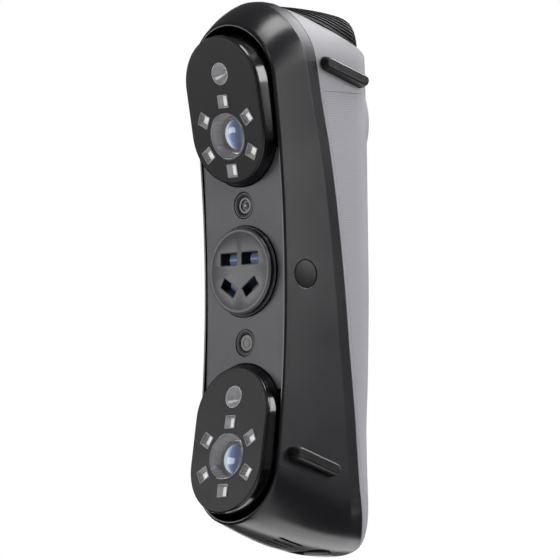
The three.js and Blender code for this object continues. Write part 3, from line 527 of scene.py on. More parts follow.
def glass_with_painted_reflection(name, stops, direction, glow, rough=0.03, spread=1.0):
    """Glass with a painted reflection: its colour follows the way it faces, and it glows in that
    colour as painted light.

    stops are (place, sRGB colour); they run from facing against the direction to facing
    along it. spread stretches them.
    """
    made, tree, shader = new_material(name)
    place = add_node(tree, "TexCoord").outputs["Object"]
    noise = add_node(tree, "TexNoise", {"Scale": 260, "Detail": 3, "Vector": place})
    noise = noise.outputs["Fac"]
    facing = add_node(tree, "VectorMath", {
        0: add_node(tree, "NewGeometry").outputs["Normal"],
        1: Vector(direction).normalized() * spread}, operation="DOT_PRODUCT")
    centred = add_node(tree, "Math", {0: facing.outputs["Value"], 1: 0.5, 2: 0.46},
                       operation="MULTIPLY_ADD")
    blurred = add_node(tree, "Math", {0: noise, 1: 0.09, 2: centred.outputs[0]},
                       operation="MULTIPLY_ADD")
    color = color_ramp(tree, blurred.outputs[0], [(at, srgb(*c)) for at, c in stops])
    # The colour is the painted reflection; the emission is painted light in the same colour.
    set_inputs(tree, shader, {
        "Base Color": color, "Roughness": map_range(tree, noise, (0, 1), (rough, rough + 0.04)),
        "IOR": 1.5, "Coat Weight": 0.5, "Coat Roughness": 0.02,
        "Emission Color": color, "Emission Strength": glow})
    MATERIALS[name] = made


# ---------------------------------------------------------------- materials
def make_materials():
    surface("dark_shell", (28, 27, 31), rough=0.25, ior=1.6, grain=0.04, grain_scale=5200,
            tone=0.03, rough_var=0.02, edge_wear_and_highlight=0.10, edge=0.35)
    # A lighter, duller copy of the dark shell for faces that face up and back: painted light that
    # stands in for the mid-grey lit tone there and mutes the bright highlight.
    surface("dark_shell_painted_lit_copy", (50, 49, 54), rough=0.42, grain=0.04, grain_scale=5200,
            tone=0.03, rough_var=0.02, edge_wear_and_highlight=0.05, edge=0.35, spec=0.22)
    surface("grey_shell", (143, 142, 148), rough=0.5, spec=0.3, grain=0.18, grain_scale=5200,
            tone=0.02, edge=0.3)
    surface("grip_texture", (143, 142, 148), rough=0.58, spec=0.35, grain=0.25,
            grain_scale=4200, tone=0.03, edge_wear_and_highlight=0.06, edge=0.15,
            lines=dict(pitch=0.62, strength=0.35, distortion=0.5))
    surface("black_plastic", (18, 18, 20), rough=0.36, grain=0.15, tone=0.05)
    surface("vent_cap", (16, 16, 18), rough=0.55, grain=0.1, tone=0.04, edge_wear_and_highlight=0.0, edge=0.2,
            spec=0.10)
    # A light edge colour for the feet: a painted edge highlight.
    surface("foot_painted_edge_highlight", (150, 149, 153), rough=0.28, grain=0.05, tone=0.04, edge_wear_and_highlight=0.5,
            edge=0.08, coat=0.3)
    surface("front_panel_plastic", (84, 81, 89), rough=0.45, grain=0.15, grain_scale=5200,
            tone=0.03, rough_var=0.03, edge_wear_and_highlight=0.15)
    surface("polished_black", (9, 9, 11), rough=0.16, tone=0.03, rough_var=0.02, edge_wear_and_highlight=0.04,
            edge=0.3, coat=0.45)
    surface("satin_face", (20, 20, 23), rough=0.38, spec=0.3, grain=0.08, grain_scale=6000,
            tone=0.04, rough_var=0.03, edge_wear_and_highlight=0.2, edge=0.35)
    surface("projector_face", (72, 71, 77), rough=0.36, grain=0.08, grain_scale=6000,
            tone=0.04, rough_var=0.03, edge_wear_and_highlight=0.3, edge=0.35)
    # These two metals are on no piece here.
    surface("bright_ring", (190, 191, 196), rough=0.22, metal=1.0, grain=0.05, tone=0.08,
            rough_var=0.08, edge_wear_and_highlight=0.1, edge=0.1)
    surface("lens_tube", (96, 95, 100), rough=0.3, metal=0.6, grain=0.05, tone=0.08,
            rough_var=0.06, edge_wear_and_highlight=0.3, edge=0.12)
    # The rubber's lighter edges are partly wear and partly a painted highlight along the feet's
    # outlines.
    surface("rubber", (15, 15, 17), rough=0.36, grain=0.25, grain_scale=4000, edge_wear_and_highlight=0.35,
            edge=0.18, spec=0.35)
    surface("solder_mask", (24, 60, 40), rough=0.35, grain=0.2, grain_scale=1500, tone=0.2,
            edge_wear_and_highlight=0.1)
    surface("blasted_aluminium", (178, 180, 184), rough=0.42, metal=1.0, grain=0.3,
            grain_scale=3500, tone=0.05, edge_wear_and_highlight=0.2)
    surface("plain_steel", (160, 162, 166), rough=0.3, metal=1.0, grain=0.15, edge_wear_and_highlight=0.2)
    surface("polyimide_film", (150, 96, 30), rough=0.3, grain=0.1, tone=0.15, edge_wear_and_highlight=0.05)
    # Painted light: the emitter wells and chips glow a little so they show in their shaded wells;
    # the emitters are not lit.
    surface("emitter_package", (160, 160, 164), rough=0.35, metal=0.1, grain=0.2,
            grain_scale=5000, tone=0.2, edge_wear_and_highlight=0.35, edge=0.08,
            glow=(150, 150, 154), painted_glow_strength=0.28)
    surface("emitter_chip", (240, 239, 236), rough=0.35, grain=0.1, tone=0.08, edge_wear_and_highlight=0.1,
            edge=0.06, glow=(246, 245, 242), painted_glow_strength=0.5)
    surface("disc_rim", (104, 103, 108), rough=0.16, metal=0.2, grain=0.02, tone=0.04,
            rough_var=0.03, edge_wear_and_highlight=0.3, edge=0.2, coat=0.5)
    surface("pod_rim", (34, 33, 37), rough=0.34, grain=0.02, tone=0.04, rough_var=0.03,
            edge_wear_and_highlight=0.3, edge=0.2, coat=0.4)
    surface("window_sleeve", (5, 5, 6), rough=0.35, tone=0.03, edge_wear_and_highlight=0.05, edge=0.05, spec=0.2)
    for pod in PODS:
        surface("satin_face_" + pod, (20, 20, 23), rough=0.42, spec=0.32, grain=0.05,
                grain_scale=6000, tone=0.03, rough_var=0.02, edge_wear_and_highlight=0.2, edge=0.3)
    surface("window_ring", (66, 65, 70), rough=0.35, grain=0.05, tone=0.04, edge_wear_and_highlight=0.3, edge=0.1)
    surface("small_lens", (112, 112, 118), rough=0.22, tone=0.03, edge_wear_and_highlight=0.0, edge=0.05,
            coat=0.3)
    # Painted light: the lens well's wall glows a little to lift it out of its shade.
    surface("well_wall", (146, 143, 143), rough=0.34, grain=0.03, tone=0.08, edge_wear_and_highlight=0.1,
            edge=0.05, coat=0.3, glow=(140, 136, 136), painted_glow_strength=0.22)
    surface("well_rim", (182, 182, 186), rough=0.2, metal=0.4, grain=0.02, edge_wear_and_highlight=0.3,
            edge=0.05, coat=0.5)
    # Painted light: the well floor glows a little too.
    surface("well_floor", (118, 116, 116), rough=0.3, grain=0.03, edge_wear_and_highlight=0.1, edge=0.05,
            coat=0.4, glow=(110, 107, 106), painted_glow_strength=0.2)
    # Painted light: the cup glows a little to lift it out of its shade.
    surface("cup_metal", (176, 175, 178), rough=0.3, metal=0.4, grain=0.08, grain_scale=3000,
            tone=0.12, rough_var=0.10, edge_wear_and_highlight=0.2, edge=0.05,
            glow=(150, 149, 152), painted_glow_strength=0.22)
    # A painted highlight: a near-white streak in the cup, with a painted glow.
    surface("cup_painted_highlight", (238, 238, 240), rough=0.25, tone=0.05, edge_wear_and_highlight=0.1, edge=0.05,
            glow=(238, 238, 242), painted_glow_strength=0.25)
    surface("emitter_pocket", (70, 68, 68), rough=0.4, grain=0.2, tone=0.15, edge_wear_and_highlight=0.2,
            edge=0.06)
    # Painted reflection: a bright blue-white crescent where the lens glass faces -X, with a
    # painted glow.
    glass_with_painted_reflection("lens_glass", [
        (0.0, (96, 97, 100)), (0.22, (122, 130, 142)), (0.33, (88, 97, 118)),
        (0.43, (92, 100, 132)), (0.52, (118, 128, 164)), (0.57, (158, 171, 206)),
        (0.61, (202, 213, 234)), (0.76, (212, 222, 240)), (0.88, (136, 142, 154)),
        (1.0, (96, 96, 100))], direction=(-1, 0, 0), glow=0.42)
    # Painted highlight: the laser glass is palest in a band where it faces level, with a painted
    # glow.
    glass_with_painted_reflection("laser_glass", [
        (0.0, (86, 100, 126)), (0.38, (98, 114, 142)), (0.5, (160, 172, 194)),
        (0.62, (100, 116, 146)), (1.0, (72, 84, 108))],
        direction=(0, 0, 1), glow=0.55, spread=1.3)
    surface("small_window", (52, 51, 56), rough=0.34, tone=0.04, rough_var=0.04, edge_wear_and_highlight=0.1,
            edge=0.05, coat=0.15)


# ---------------------------------------------------------------- the housing's outer form
def stations(end_count, side_count):
    """(part, along) down one half: 1 top end, 0 side, -1 bottom end.

    along is an angle on the ends and a share of the height on the side.
    """
    points = [(1, pi / 2 * (1 - i / end_count)) for i in range(end_count + 1)]
    points += [(0, i / side_count) for i in range(1, side_count)]
    return points + [(-1, pi / 2 * (i / end_count)) for i in range(end_count + 1)]


def nominal_z(part, along):
    if part == 1:
        return FULL_TOP + BODY_W * sin(along)
    if part == -1:
        return FULL_BOTTOM - BODY_W * sin(along)
    return mix(FULL_TOP, FULL_BOTTOM, along)


def outline_point(part, along, y, inset):
    """(x, z) of a station on the housing at depth y."""
    z = nominal_z(part, along)
    y_front = front_y(z)
    y_crease = seam_y(z) - CREASE
    depth = max(0, y - y_front)
    fade = 1 - 0.8 * sin(along) ** 2 if part == -1 else 1
    narrowing = (BODY_W - SEAM_W) * clamp((y - y_crease) / CREASE, 0, 1) * fade
    swell = clamp((y - y_front) / (y_crease - y_front), 0, 1)
    side = mix(LIP_W, BODY_W, swell) - narrowing
    if part == 0:
        top_swell = 1 - (1 - clamp(depth / TOP_RISE, 0, 1)) ** 1.9
        bottom_swell = 1 - (1 - clamp(depth / BOTTOM_RISE, 0, 1)) ** 1.7
        return side - inset, mix(mix(LIP_TOP - LIP_W, FULL_TOP, top_swell),
                                 mix(LIP_BOTTOM + LIP_W, FULL_BOTTOM, bottom_swell), along)
    share = sin(along) ** 2
    if part == 1:
        swell = 1 - (1 - clamp(depth / TOP_RISE, 0, 1)) ** 1.9
        centre = mix(LIP_TOP - LIP_W, FULL_TOP, swell)
        end = mix(LIP_W, BODY_W, swell) - narrowing
        return (mix(side, end, share) - inset) * cos(along), centre + (end - inset) * sin(along)
    swell = 1 - (1 - clamp(depth / BOTTOM_RISE, 0, 1)) ** 1.7
    centre = mix(LIP_BOTTOM + LIP_W, FULL_BOTTOM, swell)
    end = mix(LIP_W, BODY_W, swell) - narrowing
    power = 2 / (2 + (BOTTOM_SQUARE - 2) * clamp(depth / 30, 0, 1))
    return ((mix(side, end, share) - inset) * abs(cos(along)) ** power,
            centre - (end - inset) * sin(along) ** power)


def body_loft(inset=0.0, bevel=True):
    """The housing's outer form, moved inwards by the inset."""
    lip_angles = (0, 15, 35, 55, 75, 90) if bevel else (0, 90)
    levels = [("lip", angle) for angle in lip_angles]
    levels += [("front", t) for t in (0.06, 0.1, 0.15, 0.2, 0.26, 0.33, 0.42, 0.52, 0.64, 0.76,
                                      0.88, 0.96, 1)] if bevel or inset else []
    levels += [("seam", 0.5), ("seam", 1)]
    levels += [("corner", angle) for angle in range(0, 91, 6)]
    return body_rings(levels, stations(30, 44), inset, 0.0, bevel)


def body_hollow(rear_inset=0.0):
    """The coarser form that hollows the housing out."""
    levels = [("inner", 0), ("inner", 0.3), ("inner", 1), ("seam", 1)]
    levels += [("corner", angle) for angle in (0, 30, 60, 90)]
    return body_rings(levels, stations(12, 12), WALL, rear_inset, False)


def body_rings(levels, half_stations, inset, rear_inset, bevel):
    """Levels are (kind, value): an angle in degrees for lip and corner, a share for others."""
    rings = []
    for kind, value in levels:
        ring = []
        for part, along in half_stations:
            z = nominal_z(part, along)
            y_front, y_seam = front_y(z), seam_y(z)
            y_crease = y_seam - CREASE
            y_back = back_y(z) - inset - rear_inset
            corner = REAR_CORNER
            if part != 0:
                corner = mix(REAR_CORNER, END_CORNER, sin(along) ** 2)
            corner = min(corner, back_y(z) - y_seam - 0.4 - rear_inset)
            corner = max(0.6, corner - inset - rear_inset * 0.5)
            inward = inset
            if kind == "lip":
                angle = radians(value)
                y = y_front + inset + LIP_BEVEL * (1 - cos(angle))
                if bevel:
                    inward += LIP_BEVEL * (1 - sin(angle))
            elif kind == "front":
                y = mix(y_front, y_crease, value)
            elif kind == "inner":
                y = mix(INNER_START, max(y_crease, INNER_START + 0.5), value)
            elif kind == "seam":
                y = mix(y_crease, y_seam, value)
            else:
                angle = radians(value)
                y = y_back - corner + corner * sin(angle)
                inward += rear_inset * 0.6 + corner * (1 - cos(angle))
            x, z = outline_point(part, along, y, inward)
            ring.append((max(x, 0), y, z))
        rings.append(ring)
    return loft(rings)


def rear_region(grow):
    """Everything behind the seam and below the cap."""
    heights = list(np.concatenate([
        np.linspace(SLOPE_Z, 60, 26), np.linspace(58, -78, 40),
        np.linspace(-79.5, SEAM_END_Z, 18)]))
    points = [(seam_y(z) - grow, z) for z in heights]
    points[0] = (points[0][0], SLOPE_Z + grow * 1.1)
    points[-1] = (points[-1][0], SEAM_END_Z - grow)
    points += [(REGION_BACK, SEAM_END_Z - grow),
               (REGION_BACK, slope_z(REGION_BACK) + grow * 1.12)]
    return prism(points, -REGION_HALF, REGION_HALF, "x")


def cap_region(grow):
    """Everything above the slope under the cap."""
    y = 10.35
    points = [(y - grow, 120), (y - grow, slope_z(y) - grow),
              (REGION_BACK, slope_z(REGION_BACK) - grow), (REGION_BACK, 120)]
    return prism(points, -REGION_HALF, REGION_HALF, "x")


# ---------------------------------------------------------------- front shell and side plugs
def on_wall(shape, side):
    """Set a piece turned on Y, outer face at y = 0, flush into the sloping side wall."""
    y_front = front_y(PLUG_Z)
    run = seam_y(PLUG_Z) - CREASE - y_front
    x = LIP_W + (BODY_W - LIP_W) * (PLUG_Y - y_front) / run
    tilt = atan((BODY_W - LIP_W) / 23)
    return moved(shape, shift(side * x, PLUG_Y, PLUG_Z) @ turn(-side * tilt, "Z")
                 @ turn(side * pi / 2, "Z"))


def front_shell():
    openings = [prism([(x + a, b) for a, b in stadium(SLOT_R, SLOT_FRONT, SLOT_BACK, 7)],
                      -115, -88, "z") for x in SLOT_XS]
    openings.append(prism(port_outline(PORT_R), -115, -92, "z"))
    cuts = [prism(stadium(OPEN_R, OPEN_BOTTOM, OPEN_TOP, 48), -30, OPEN_DEPTH, "y"),
            body_hollow(), rear_region(CLEARANCE), cap_region(CLEARANCE), join(openings)]
    cuts += [on_wall(cylinder(PLUG_R + 0.2, -4, 6, 72), side) for _, side in SIDES]

    # Faces that face up and back get the painted lit copy of the dark shell.
    def faces_up_and_back(middle, normal):
        return int(normal.y > -0.12 and normal.z > 0.05 and middle.z > 0.05)
    piece("front_shell_skin", body_loft(), ["dark_shell", "dark_shell_painted_lit_copy"], "dark_shell",
          cuts, replaces="front_shell", angle=9, pick=faces_up_and_back)


def side_plugs():
    r = PLUG_R
    profile = [(0, 0.02), (r - 0.5, 0.02), (r - 0.2, 0.08), (r, 0.3), (r, 2.0), (0, 2.0)]
    for name, side in SIDES:
        piece(name + "_side_plug_skin", on_wall(lathe(profile, 72), side), ["satin_face"],
              "black_plastic", replaces=name + "_side_plug")


# ---------------------------------------------------------------- rear shell and grip
def grip_region(grow):
    """The grip's area, with an oval left out round the control pad."""
    points = [(seam_y(GRIP_TOP) + GRIP_EDGE - grow, GRIP_TOP + grow)]
    points += [(seam_y(z) + GRIP_EDGE - grow, z) for z in np.linspace(63, -72, 40)]
    points += [(y - grow, z - grow) for y, z in GRIP_END]
    points += [(REGION_BACK, GRIP_END[-1][1] - grow), (REGION_BACK, GRIP_TOP + grow)]
    rx, rz = PAD_RX + 0.6 - grow, PAD_RZ + 0.6 - grow
    return cut(solid("grip_region", prism(points, -REGION_HALF, REGION_HALF, "x")),
               cylinder(rx, 20, 70, 72, PAD_Z, rz / rx))


def button_holes(y, scan_gap, key_gap, key_count):
    holes = [cylinder(SCAN_R + scan_gap, y, 70, 72, PAD_Z)]
    holes += [cylinder(KEY_R + key_gap, y, 70, key_count, PAD_Z + s * KEY_OFFSET)
              for s in (1, -1)]
    return join(holes)


def rear_shell():
    shell = solid("rear_shell_skin", body_loft())
    # The hollow stops below the slope, which leaves a wall under the cap.
    hollow = solid("hollow", body_hollow(rear_inset=0.2))
    below = [(-40, -150), (70, -150), (70, slope_z(70) - 2.4), (-40, slope_z(-40) - 2.4)]
    cut(hollow, prism(below, -60, 60, "x"), "INTERSECT")
    boolean(shell, hollow)
    cut(shell, rear_region(-CLEARANCE), "INTERSECT")
    recess = solid("grip_recess", body_loft(inset=-1.5, bevel=False))
    cut(recess, body_loft(inset=1.25))
    boolean(recess, grip_region(0.08), "INTERSECT")
    boolean(shell, recess)
    cut(shell, button_holes(35, scan_gap=0.35, key_gap=0.3, key_count=48))
    circle = [(9.2 * cos(a), 27 + 9.2 * sin(a)) for a in np.linspace(0, 2 * pi, 49)[:-1]]
    cut(shell, prism(circle, 70, 110, "z"))
    finish(shell, ["grey_shell"], "grey_shell", "rear_shell", angle=28)


def rear_grip():
    grip = solid("rear_grip_skin", body_loft())
    cut(grip, body_loft(inset=1.0))
    boolean(grip, grip_region(0.0), "INTERSECT")
    finish(grip, ["grip_texture"], "grip", "rear_grip_panel", angle=28)


# ---------------------------------------------------------------- top cap with fine ribs
def cap_loft(inset):
    end = CAP_BACK - inset * 0.6

    def rounding(r, y):
        return r - sqrt(max(0, r * r - (y - end + r) ** 2)) if y > end - r else 0
    depths = list(np.linspace(10.9, end - 5.7, 18))
    depths += [end - 5.5 + 5.5 * sin(a) for a in np.linspace(0.05, pi / 2, 16)]
    rings = []
    for y in depths:
        fall = 3.2 * clamp((y - 12) / 29.5, 0, 1) ** 2
        width = (CAP_R - inset - rounding(CAP_SIDE_CORNER, y)
                 - 1.5 * clamp((y - 14) / 20, 0, 1))
        height = CAP_R - inset - fall - rounding(CAP_TOP_CORNER, y)
        power = 2 / mix(2, CAP_SQUARE, clamp((y - 11) / 24, 0, 1))
        half = [(width * abs(cos(a)) ** power, y, CAP_CENTRE_Z + height * sin(a) ** power)
                for a in np.linspace(pi / 2, 0, 34)]
        rings.append(half + [(width, y, 55), (0, y, 55)])
    return loft(rings)


def top_cap():
    cap = solid("top_cap_skin", cap_loft(0))
    cut(cap, cap_region(-0.15), "INTERSECT")
    # The grooves between the ribs are bands of a thin skin, taken out of the cap.
    skin = solid("grooves", cap_loft(-1.0))
    cut(skin, cap_loft(0.45))
    first, pitch, width, y0, y1 = 1.5, 1.55, 0.75, 14.0, 46
    bands = []
    rise = first
    while rise < 17:
        bands.append(prism([(y0, slope_z(y0) + rise), (y1, slope_z(y1) + rise),
                            (y1, slope_z(y1) + rise + width),
                            (y0, slope_z(y0) + rise + width)], -40, 40, "x"))
        rise += pitch
    cut(skin, join(bands), "INTERSECT")
    boolean(cap, skin)
    finish(cap, ["vent_cap"], "black_plastic", "top_vent_cap", angle=28)


# ---------------------------------------------------------------- front panel and projector
def front_panel():
    heights = np.linspace(PANEL_END, -PANEL_END, 60)
    rings = []
    for depth in (PANEL_SINK, PANEL_BACK):
        side = [(PANEL_R, front_y(z) + depth, z) for z in heights]
        rings.append([(0, *side[0][1:])] + side + [(0, *side[-1][1:])])
    cuts = [prism(stadium(POD_BASE_R + 0.35, *pod["base"]), -20, 20, "y")
            for pod in PODS.values()]
    holes = [cylinder(16.9, -20, 20, 96)]
    holes += [cylinder(5.0, -20, 20, 64, z) for z in (CAMERA_Z, RANGE_Z)]
    piece("front_panel_skin", loft(rings), ["front_panel_plastic"], "front_panel",
          cuts + [join(holes)], replaces="front_panel", angle=28)


def projector_disc():
    profile = [  # (radius, y)
        (0, 4.5), (15.4, 4.5), (15.4, 1.2), (16.6, 1.2), (16.6, -0.35), (16.5, -0.5),
        (16.1, -0.55), (15.95, -0.6), (15.9, -0.8), (15.9, -2.05), (15.8, -2.3),
        (15.55, -2.55), (15.3, -2.68), (15.1, -DISC_PROUD), (14.2, -DISC_PROUD),
        (14.0, -2.62), (0, -2.62)]

    def face_or_rim(middle, normal):
        if hypot(middle.x, middle.z) < 14.9 or normal.y < -0.985:
            return 0
        return 2 if normal.y < -0.3 else 1
    holes = [prism(turned_rect(*place, 0.35), -10, 10, "y") for _, *place in WINDOWS]
    piece("projector_face_skin", lathe(profile, 160),
          ["projector_face", "polished_black", "disc_rim"], "satin_face", [join(holes)],
          replaces="projector_housing", angle=24, pick=face_or_rim)


def line_lens(half_width, half_height):
    """A rod with a rounded front face."""
    verts, faces = [], []
    steps = 14
    for i in range(steps + 1):
        t = -1 + 2 * i / steps
        verts += [(x, y, half_height * t) for y in (1.75 + 0.85 * t * t, 3.65)
                  for x in (-half_width, half_width)]
    for o in range(0, 4 * steps, 4):
        q = o + 4
        faces += [(o, o + 1, q + 1, q), (o + 2, q + 2, q + 3, o + 3),
                  (o, q, q + 2, o + 2), (o + 1, o + 3, q + 3, q + 1)]
    end = 4 * steps
    return verts, faces + [(0, 2, 3, 1), (end, end + 1, end + 3, end + 2)]


def projector_windows():
    """A black sleeve in each window and the line lens deep inside it."""
    for name, x, z, width, height, degrees in WINDOWS:
        place = shift(x, 0, z) @ turn(-radians(degrees))
        outer = turned_rect(0, 0, width - 0.04, height - 0.04, 0, 0.34)
        bore = turned_rect(0, 0, width - 0.5, height - 0.5, 0, 0.3)
        piece("window_sleeve_" + name, moved(prism(outer, -2.52, 3.9, "y"), place),
              ["window_sleeve"], "gloss_black", [moved(prism(bore, -5, 3.7, "y"), place)],
              angle=30)
        piece("laser_lens_skin_" + name,
              moved(line_lens(width / 2 - 0.4, height / 2 - 0.35), place), ["laser_glass"],
              "optical_glass", replaces="laser_lens_" + name, angle=40)


def panel_window(name, lens_name, z, lens_profile, pupil_r):
    """A ringed round window in the panel; the lens is paler inside pupil_r."""
    y = front_y(z)
    ring_profile = [  # (radius, depth behind the front surface)
        (3.25, 3.1), (4.72, 3.1), (4.72, 0.75), (4.6, 0.6), (4.3, 0.58), (4.15, 0.72),
        (3.6, 0.8), (3.35, 0.95), (3.25, 1.2)]
    ring = lathe([(r, y + depth) for r, depth in ring_profile], 72, z)
    back = soft_box(-4.4, 4.4, y + 3.2, 10.0, z - 4.4, z + 4.4, 0.2, 3)
    piece(name + "_skin", join([ring, back]), ["window_ring"], "black_plastic", replaces=name)
    piece(lens_name + "_skin", lathe([(r, y + depth) for r, depth in lens_profile], 56, z),
          ["small_window", "small_lens"], "optical_glass", replaces=lens_name,
          pick=lambda middle, normal: int(hypot(middle.x, middle.z - z) < pupil_r))


def panel_windows():
    edge = [(0, 2.8), (3.05, 2.8), (3.05, 1.3), (2.95, 1.2)]
    panel_window("colour_camera", "colour_camera_lens", CAMERA_Z, edge + [
        (2.2, 1.2), (2.1, 1.35), (1.95, 1.7), (1.45, 1.75), (1.3, 1.5), (0.9, 1.32),
        (0, 1.22)], pupil_r=1.4)
    panel_window("range_sensor", "range_sensor_window", RANGE_Z, edge + [
        (1.75, 1.2), (1.7, 1.34), (1.5, 1.34), (1.45, 1.22), (0, 1.2)], pupil_r=0)


# ---------------------------------------------------------------- pods
def pod_ring(r, y, top=POD_HALF, bottom=-POD_HALF):
    """Half of a pod's outline; top and bottom are its arc centres."""
    ring = [(r * cos(a), y, top + r * sin(a)) for a in (pi / 2 * (1 - i / 36) for i in range(37))]
    ring += [(r, y, mix(top, bottom, i / 16)) for i in range(1, 16)]
    return ring + [(r * cos(a), y, bottom + r * sin(a))
                   for a in (-pi / 2 * (i / 36) for i in range(37))]


def pod_housing(pod, spec, tilted):
    """The wall, from the tilted face down to the upright base."""
    low, high = spec["base"]
    face = moved_points(pod_ring(POD_R + 0.12, 1.35), tilted)
    base = pod_ring(POD_BASE_R, -0.6, high, low)
    rings = [face]
    for t in (0.15, 0.35, 0.6, 0.8, 1.0):
        rings.append([tuple(mix(a[i], b[i], t) for i in range(3)) for a, b in zip(face, base)])
    rings.append(pod_ring(POD_BASE_R, OPEN_DEPTH - 0.5, high, low))
    bore = prism(stadium(POD_R - 1.3, -POD_HALF, POD_HALF, 36), -4, 24, "y")
    piece(pod + "_pod_wall", loft(rings), ["polished_black"], "gloss_black",
          [moved(bore, tilted)], replaces=pod + "_pod_housing", angle=28)


def led_places(spec):
    """(x, z, degrees) of the six emitters round the lens."""
    return [(LED_RING * cos(radians(a)), spec["lens"] + LED_RING * sin(radians(a)), a)
            for a in range(90, 450, 60)]


def pod_cover(pod, spec, tilted):
    # Inset from the pod's radius, and depth behind its face
    edge = [(-0.9, 0.0), (-0.62, 0.0), (-0.5, 0.03), (-0.3, 0.12), (-0.12, 0.3), (-0.02, 0.55),
            (0.1, 1.2)]
    rings = [moved_points(pod_ring(POD_R + grow, y), tilted) for grow, y in edge]
    holes = [cylinder(8.72, -3, 6, 96, spec["lens"]), cylinder(4.3, -3, 6, 64, spec["cup"])]
    holes += [prism(turned_rect(x, z, 4.9, 4.9, a), -3, 6, "y") for x, z, a in led_places(spec)]
    outward = tilted.to_3x3() @ Vector((0, -1, 0))

    def face_or_rim(middle, normal):
        facing = normal @ outward
        return 0 if facing > 0.97 else 2 if facing > 0.45 else 1
    piece(pod + "_pod_face", loft(rings), ["satin_face_" + pod, "polished_black", "pod_rim"],
          "satin_face", [moved(join(holes), tilted)], replaces=pod + "_pod_cover", angle=24,
          pick=face_or_rim)


def pod_emitters(pod, spec, tilted):
    """Square wells, finely ribbed and a little proud of the face, with chips on their floors."""
    outer, inner, rib = 2.4, 2.16, 0.13
    wells, chips = [], []
    for k, (x, z, degrees) in enumerate(led_places(spec)):
        walls = ((-outer, -inner, -outer, outer), (inner, outer, -outer, outer),
                 (-inner, inner, inner, outer), (-inner, inner, -outer, -inner))
        well = [soft_box(x0, x1, -0.42, 2.15, z0, z1, 0.06) for x0, x1, z0, z1 in walls]
        well.append(box(-outer, outer, 2.15, 2.35, -outer, outer))
        for j in range(6):
            at = -1.75 + 3.5 * j / 5 + 0.12 * sin(5 * j + k)
            half = 0.08 + 0.05 * ((j + k) % 2)
            ribs = ((-inner, -inner + rib, at - half, at + half),
                    (inner - rib, inner, at - half, at + half),
                    (at - half, at + half, inner - rib, inner),
                    (at - half, at + half, -inner, -inner + rib))
            well += [box(x0, x1, 0.1 + 0.2 * (j % 3), 2.2, z0, z1) for x0, x1, z0, z1 in ribs]
        chip = [soft_box(-1.75, 1.75, 1.9, 2.15, -1.75, 1.75, 0.1)]
        tiles = ((-0.6, 0.1, -0.7, 0.7), (0.4, 1.3, -1.3, 0.3), (-1.4, -0.8, 0.2, 1.3))
        chip += [soft_box(x0, x1, 1.78, 1.89, z0, z1, 0.06) for x0, x1, z0, z1 in tiles]
        place = tilted @ shift(x, 0, z) @ turn(-radians(degrees))
        wells.append(moved(join(well), place))
        chips.append(moved(join(chip), place))
    piece(pod + "_emitter_wells", join(wells), ["emitter_package"], "reflector_metal")
    piece(pod + "_emitter_chips", join(chips), ["emitter_chip"], "reflector_metal")


def pod_board(pod, spec, tilted):
    board = prism(stadium(POD_R - 2.2, -POD_HALF, POD_HALF, 24), 2.45, 3.25, "y")
    holes = join([cylinder(8.7, -3, 8, 72, spec["lens"]), cylinder(4.4, -3, 8, 48, spec["cup"])])
    piece(pod + "_led_board_skin", moved(board, tilted), ["solder_mask"], "circuit_board",
          [moved(holes, tilted)], replaces=pod + "_led_board")


def lens_well(pod, spec, tilted):
    """A thin bright rim, a smooth wall and a step round the glass."""
    profile = [  # (radius, y)
        (5.5, 6.3), (8.6, 6.3), (8.6, -0.1), (8.55, -0.34), (8.4, -0.5), (8.2, -0.56),
        (8.02, -0.48), (7.92, -0.3), (7.85, 0.0), (7.6, 1.3), (7.3, 2.8), (7.1, 3.85),
        (7.0, 4.02), (6.75, 4.06), (6.62, 3.92), (6.5, 3.9), (6.1, 4.2), (5.5, 4.8)]
    to_lens = (tilted @ shift(0, 0, spec["lens"])).inverted()

    def wall_rim_or_floor(middle, normal):
        point = to_lens @ middle
        r = hypot(point.x, point.z)
        if point.y < -0.1 and r < 8.58 or 3.85 < point.y < 4.06 and 6.55 < r < 7.1:
            return 1
        return 0 if r > 7.0 else 2
    piece(pod + "_lens_well", moved(lathe(profile, 144, spec["lens"]), tilted),
          ["well_wall", "well_rim", "well_floor"], "reflector_metal",
          replaces=pod + "_lens_cone", angle=34, pick=wall_rim_or_floor)


def lens_ribs(pod, spec, tilted):
    """Teeth on the well's rim, and ribs that run down its wall; the bright ribs are partly real
    ribs and partly painted highlight streaks on the wall.
    """
    centre = tilted @ shift(0, 0, spec["lens"])
    upper = pod == "upper"
    parts = []
    for i in range(-3, 4):
        parts.append(moved(soft_box(8.1, 8.85, -0.66, 0.1, -0.17, 0.17, 0.07),
                           centre @ turn(pi / 2 + i * 0.115 + 0.03)))
    for i in (-1, 0, 1):
        parts.append(moved(soft_box(8.15, 8.8, -0.62, 0.1, -0.2, 0.2, 0.07),
                           centre @ turn(radians(-132 if upper else -112) + i * 0.13)))
    # Degrees round the well, half width, height; the first is wide and bright, a painted
    # highlight streak.
    for degrees, half, height in (
            (148, 0.75, 0.1), (141, 0.10, 0.2), (156, 0.10, 0.2), (193, 0.10, 0.14),
            (118, 0.08, 0.16), (128, 0.08, 0.12), (214, 0.07, 0.1), (232, 0.07, 0.1)):
        profile = [(7.9, 0.0), (7.84 - height, 0.15), (7.14 - height, 3.75), (7.12, 3.9),
                   (7.9, 3.9)]
        parts.append(moved(prism(profile, -half, half, "z"),
                           centre @ turn(radians(degrees if upper else degrees + 6))))
    piece(pod + "_lens_ribs", join(parts), ["well_rim"], "reflector_metal", angle=35)


def lens_glass(pod, spec, tilted):
    profile = [
        (0, 6.2), (5.45, 6.2), (5.45, 4.5), (5.36, 4.1), (5.1, 3.7), (4.7, 3.35), (4.1, 3.0),
        (3.4, 2.72), (2.6, 2.5), (1.8, 2.36), (0.9, 2.28), (0, 2.26)]
    piece(pod + "_glass_skin", moved(lathe(profile, 96, spec["lens"]), tilted), ["lens_glass"],
          "optical_glass", replaces=pod + "_lens_glass", angle=60)


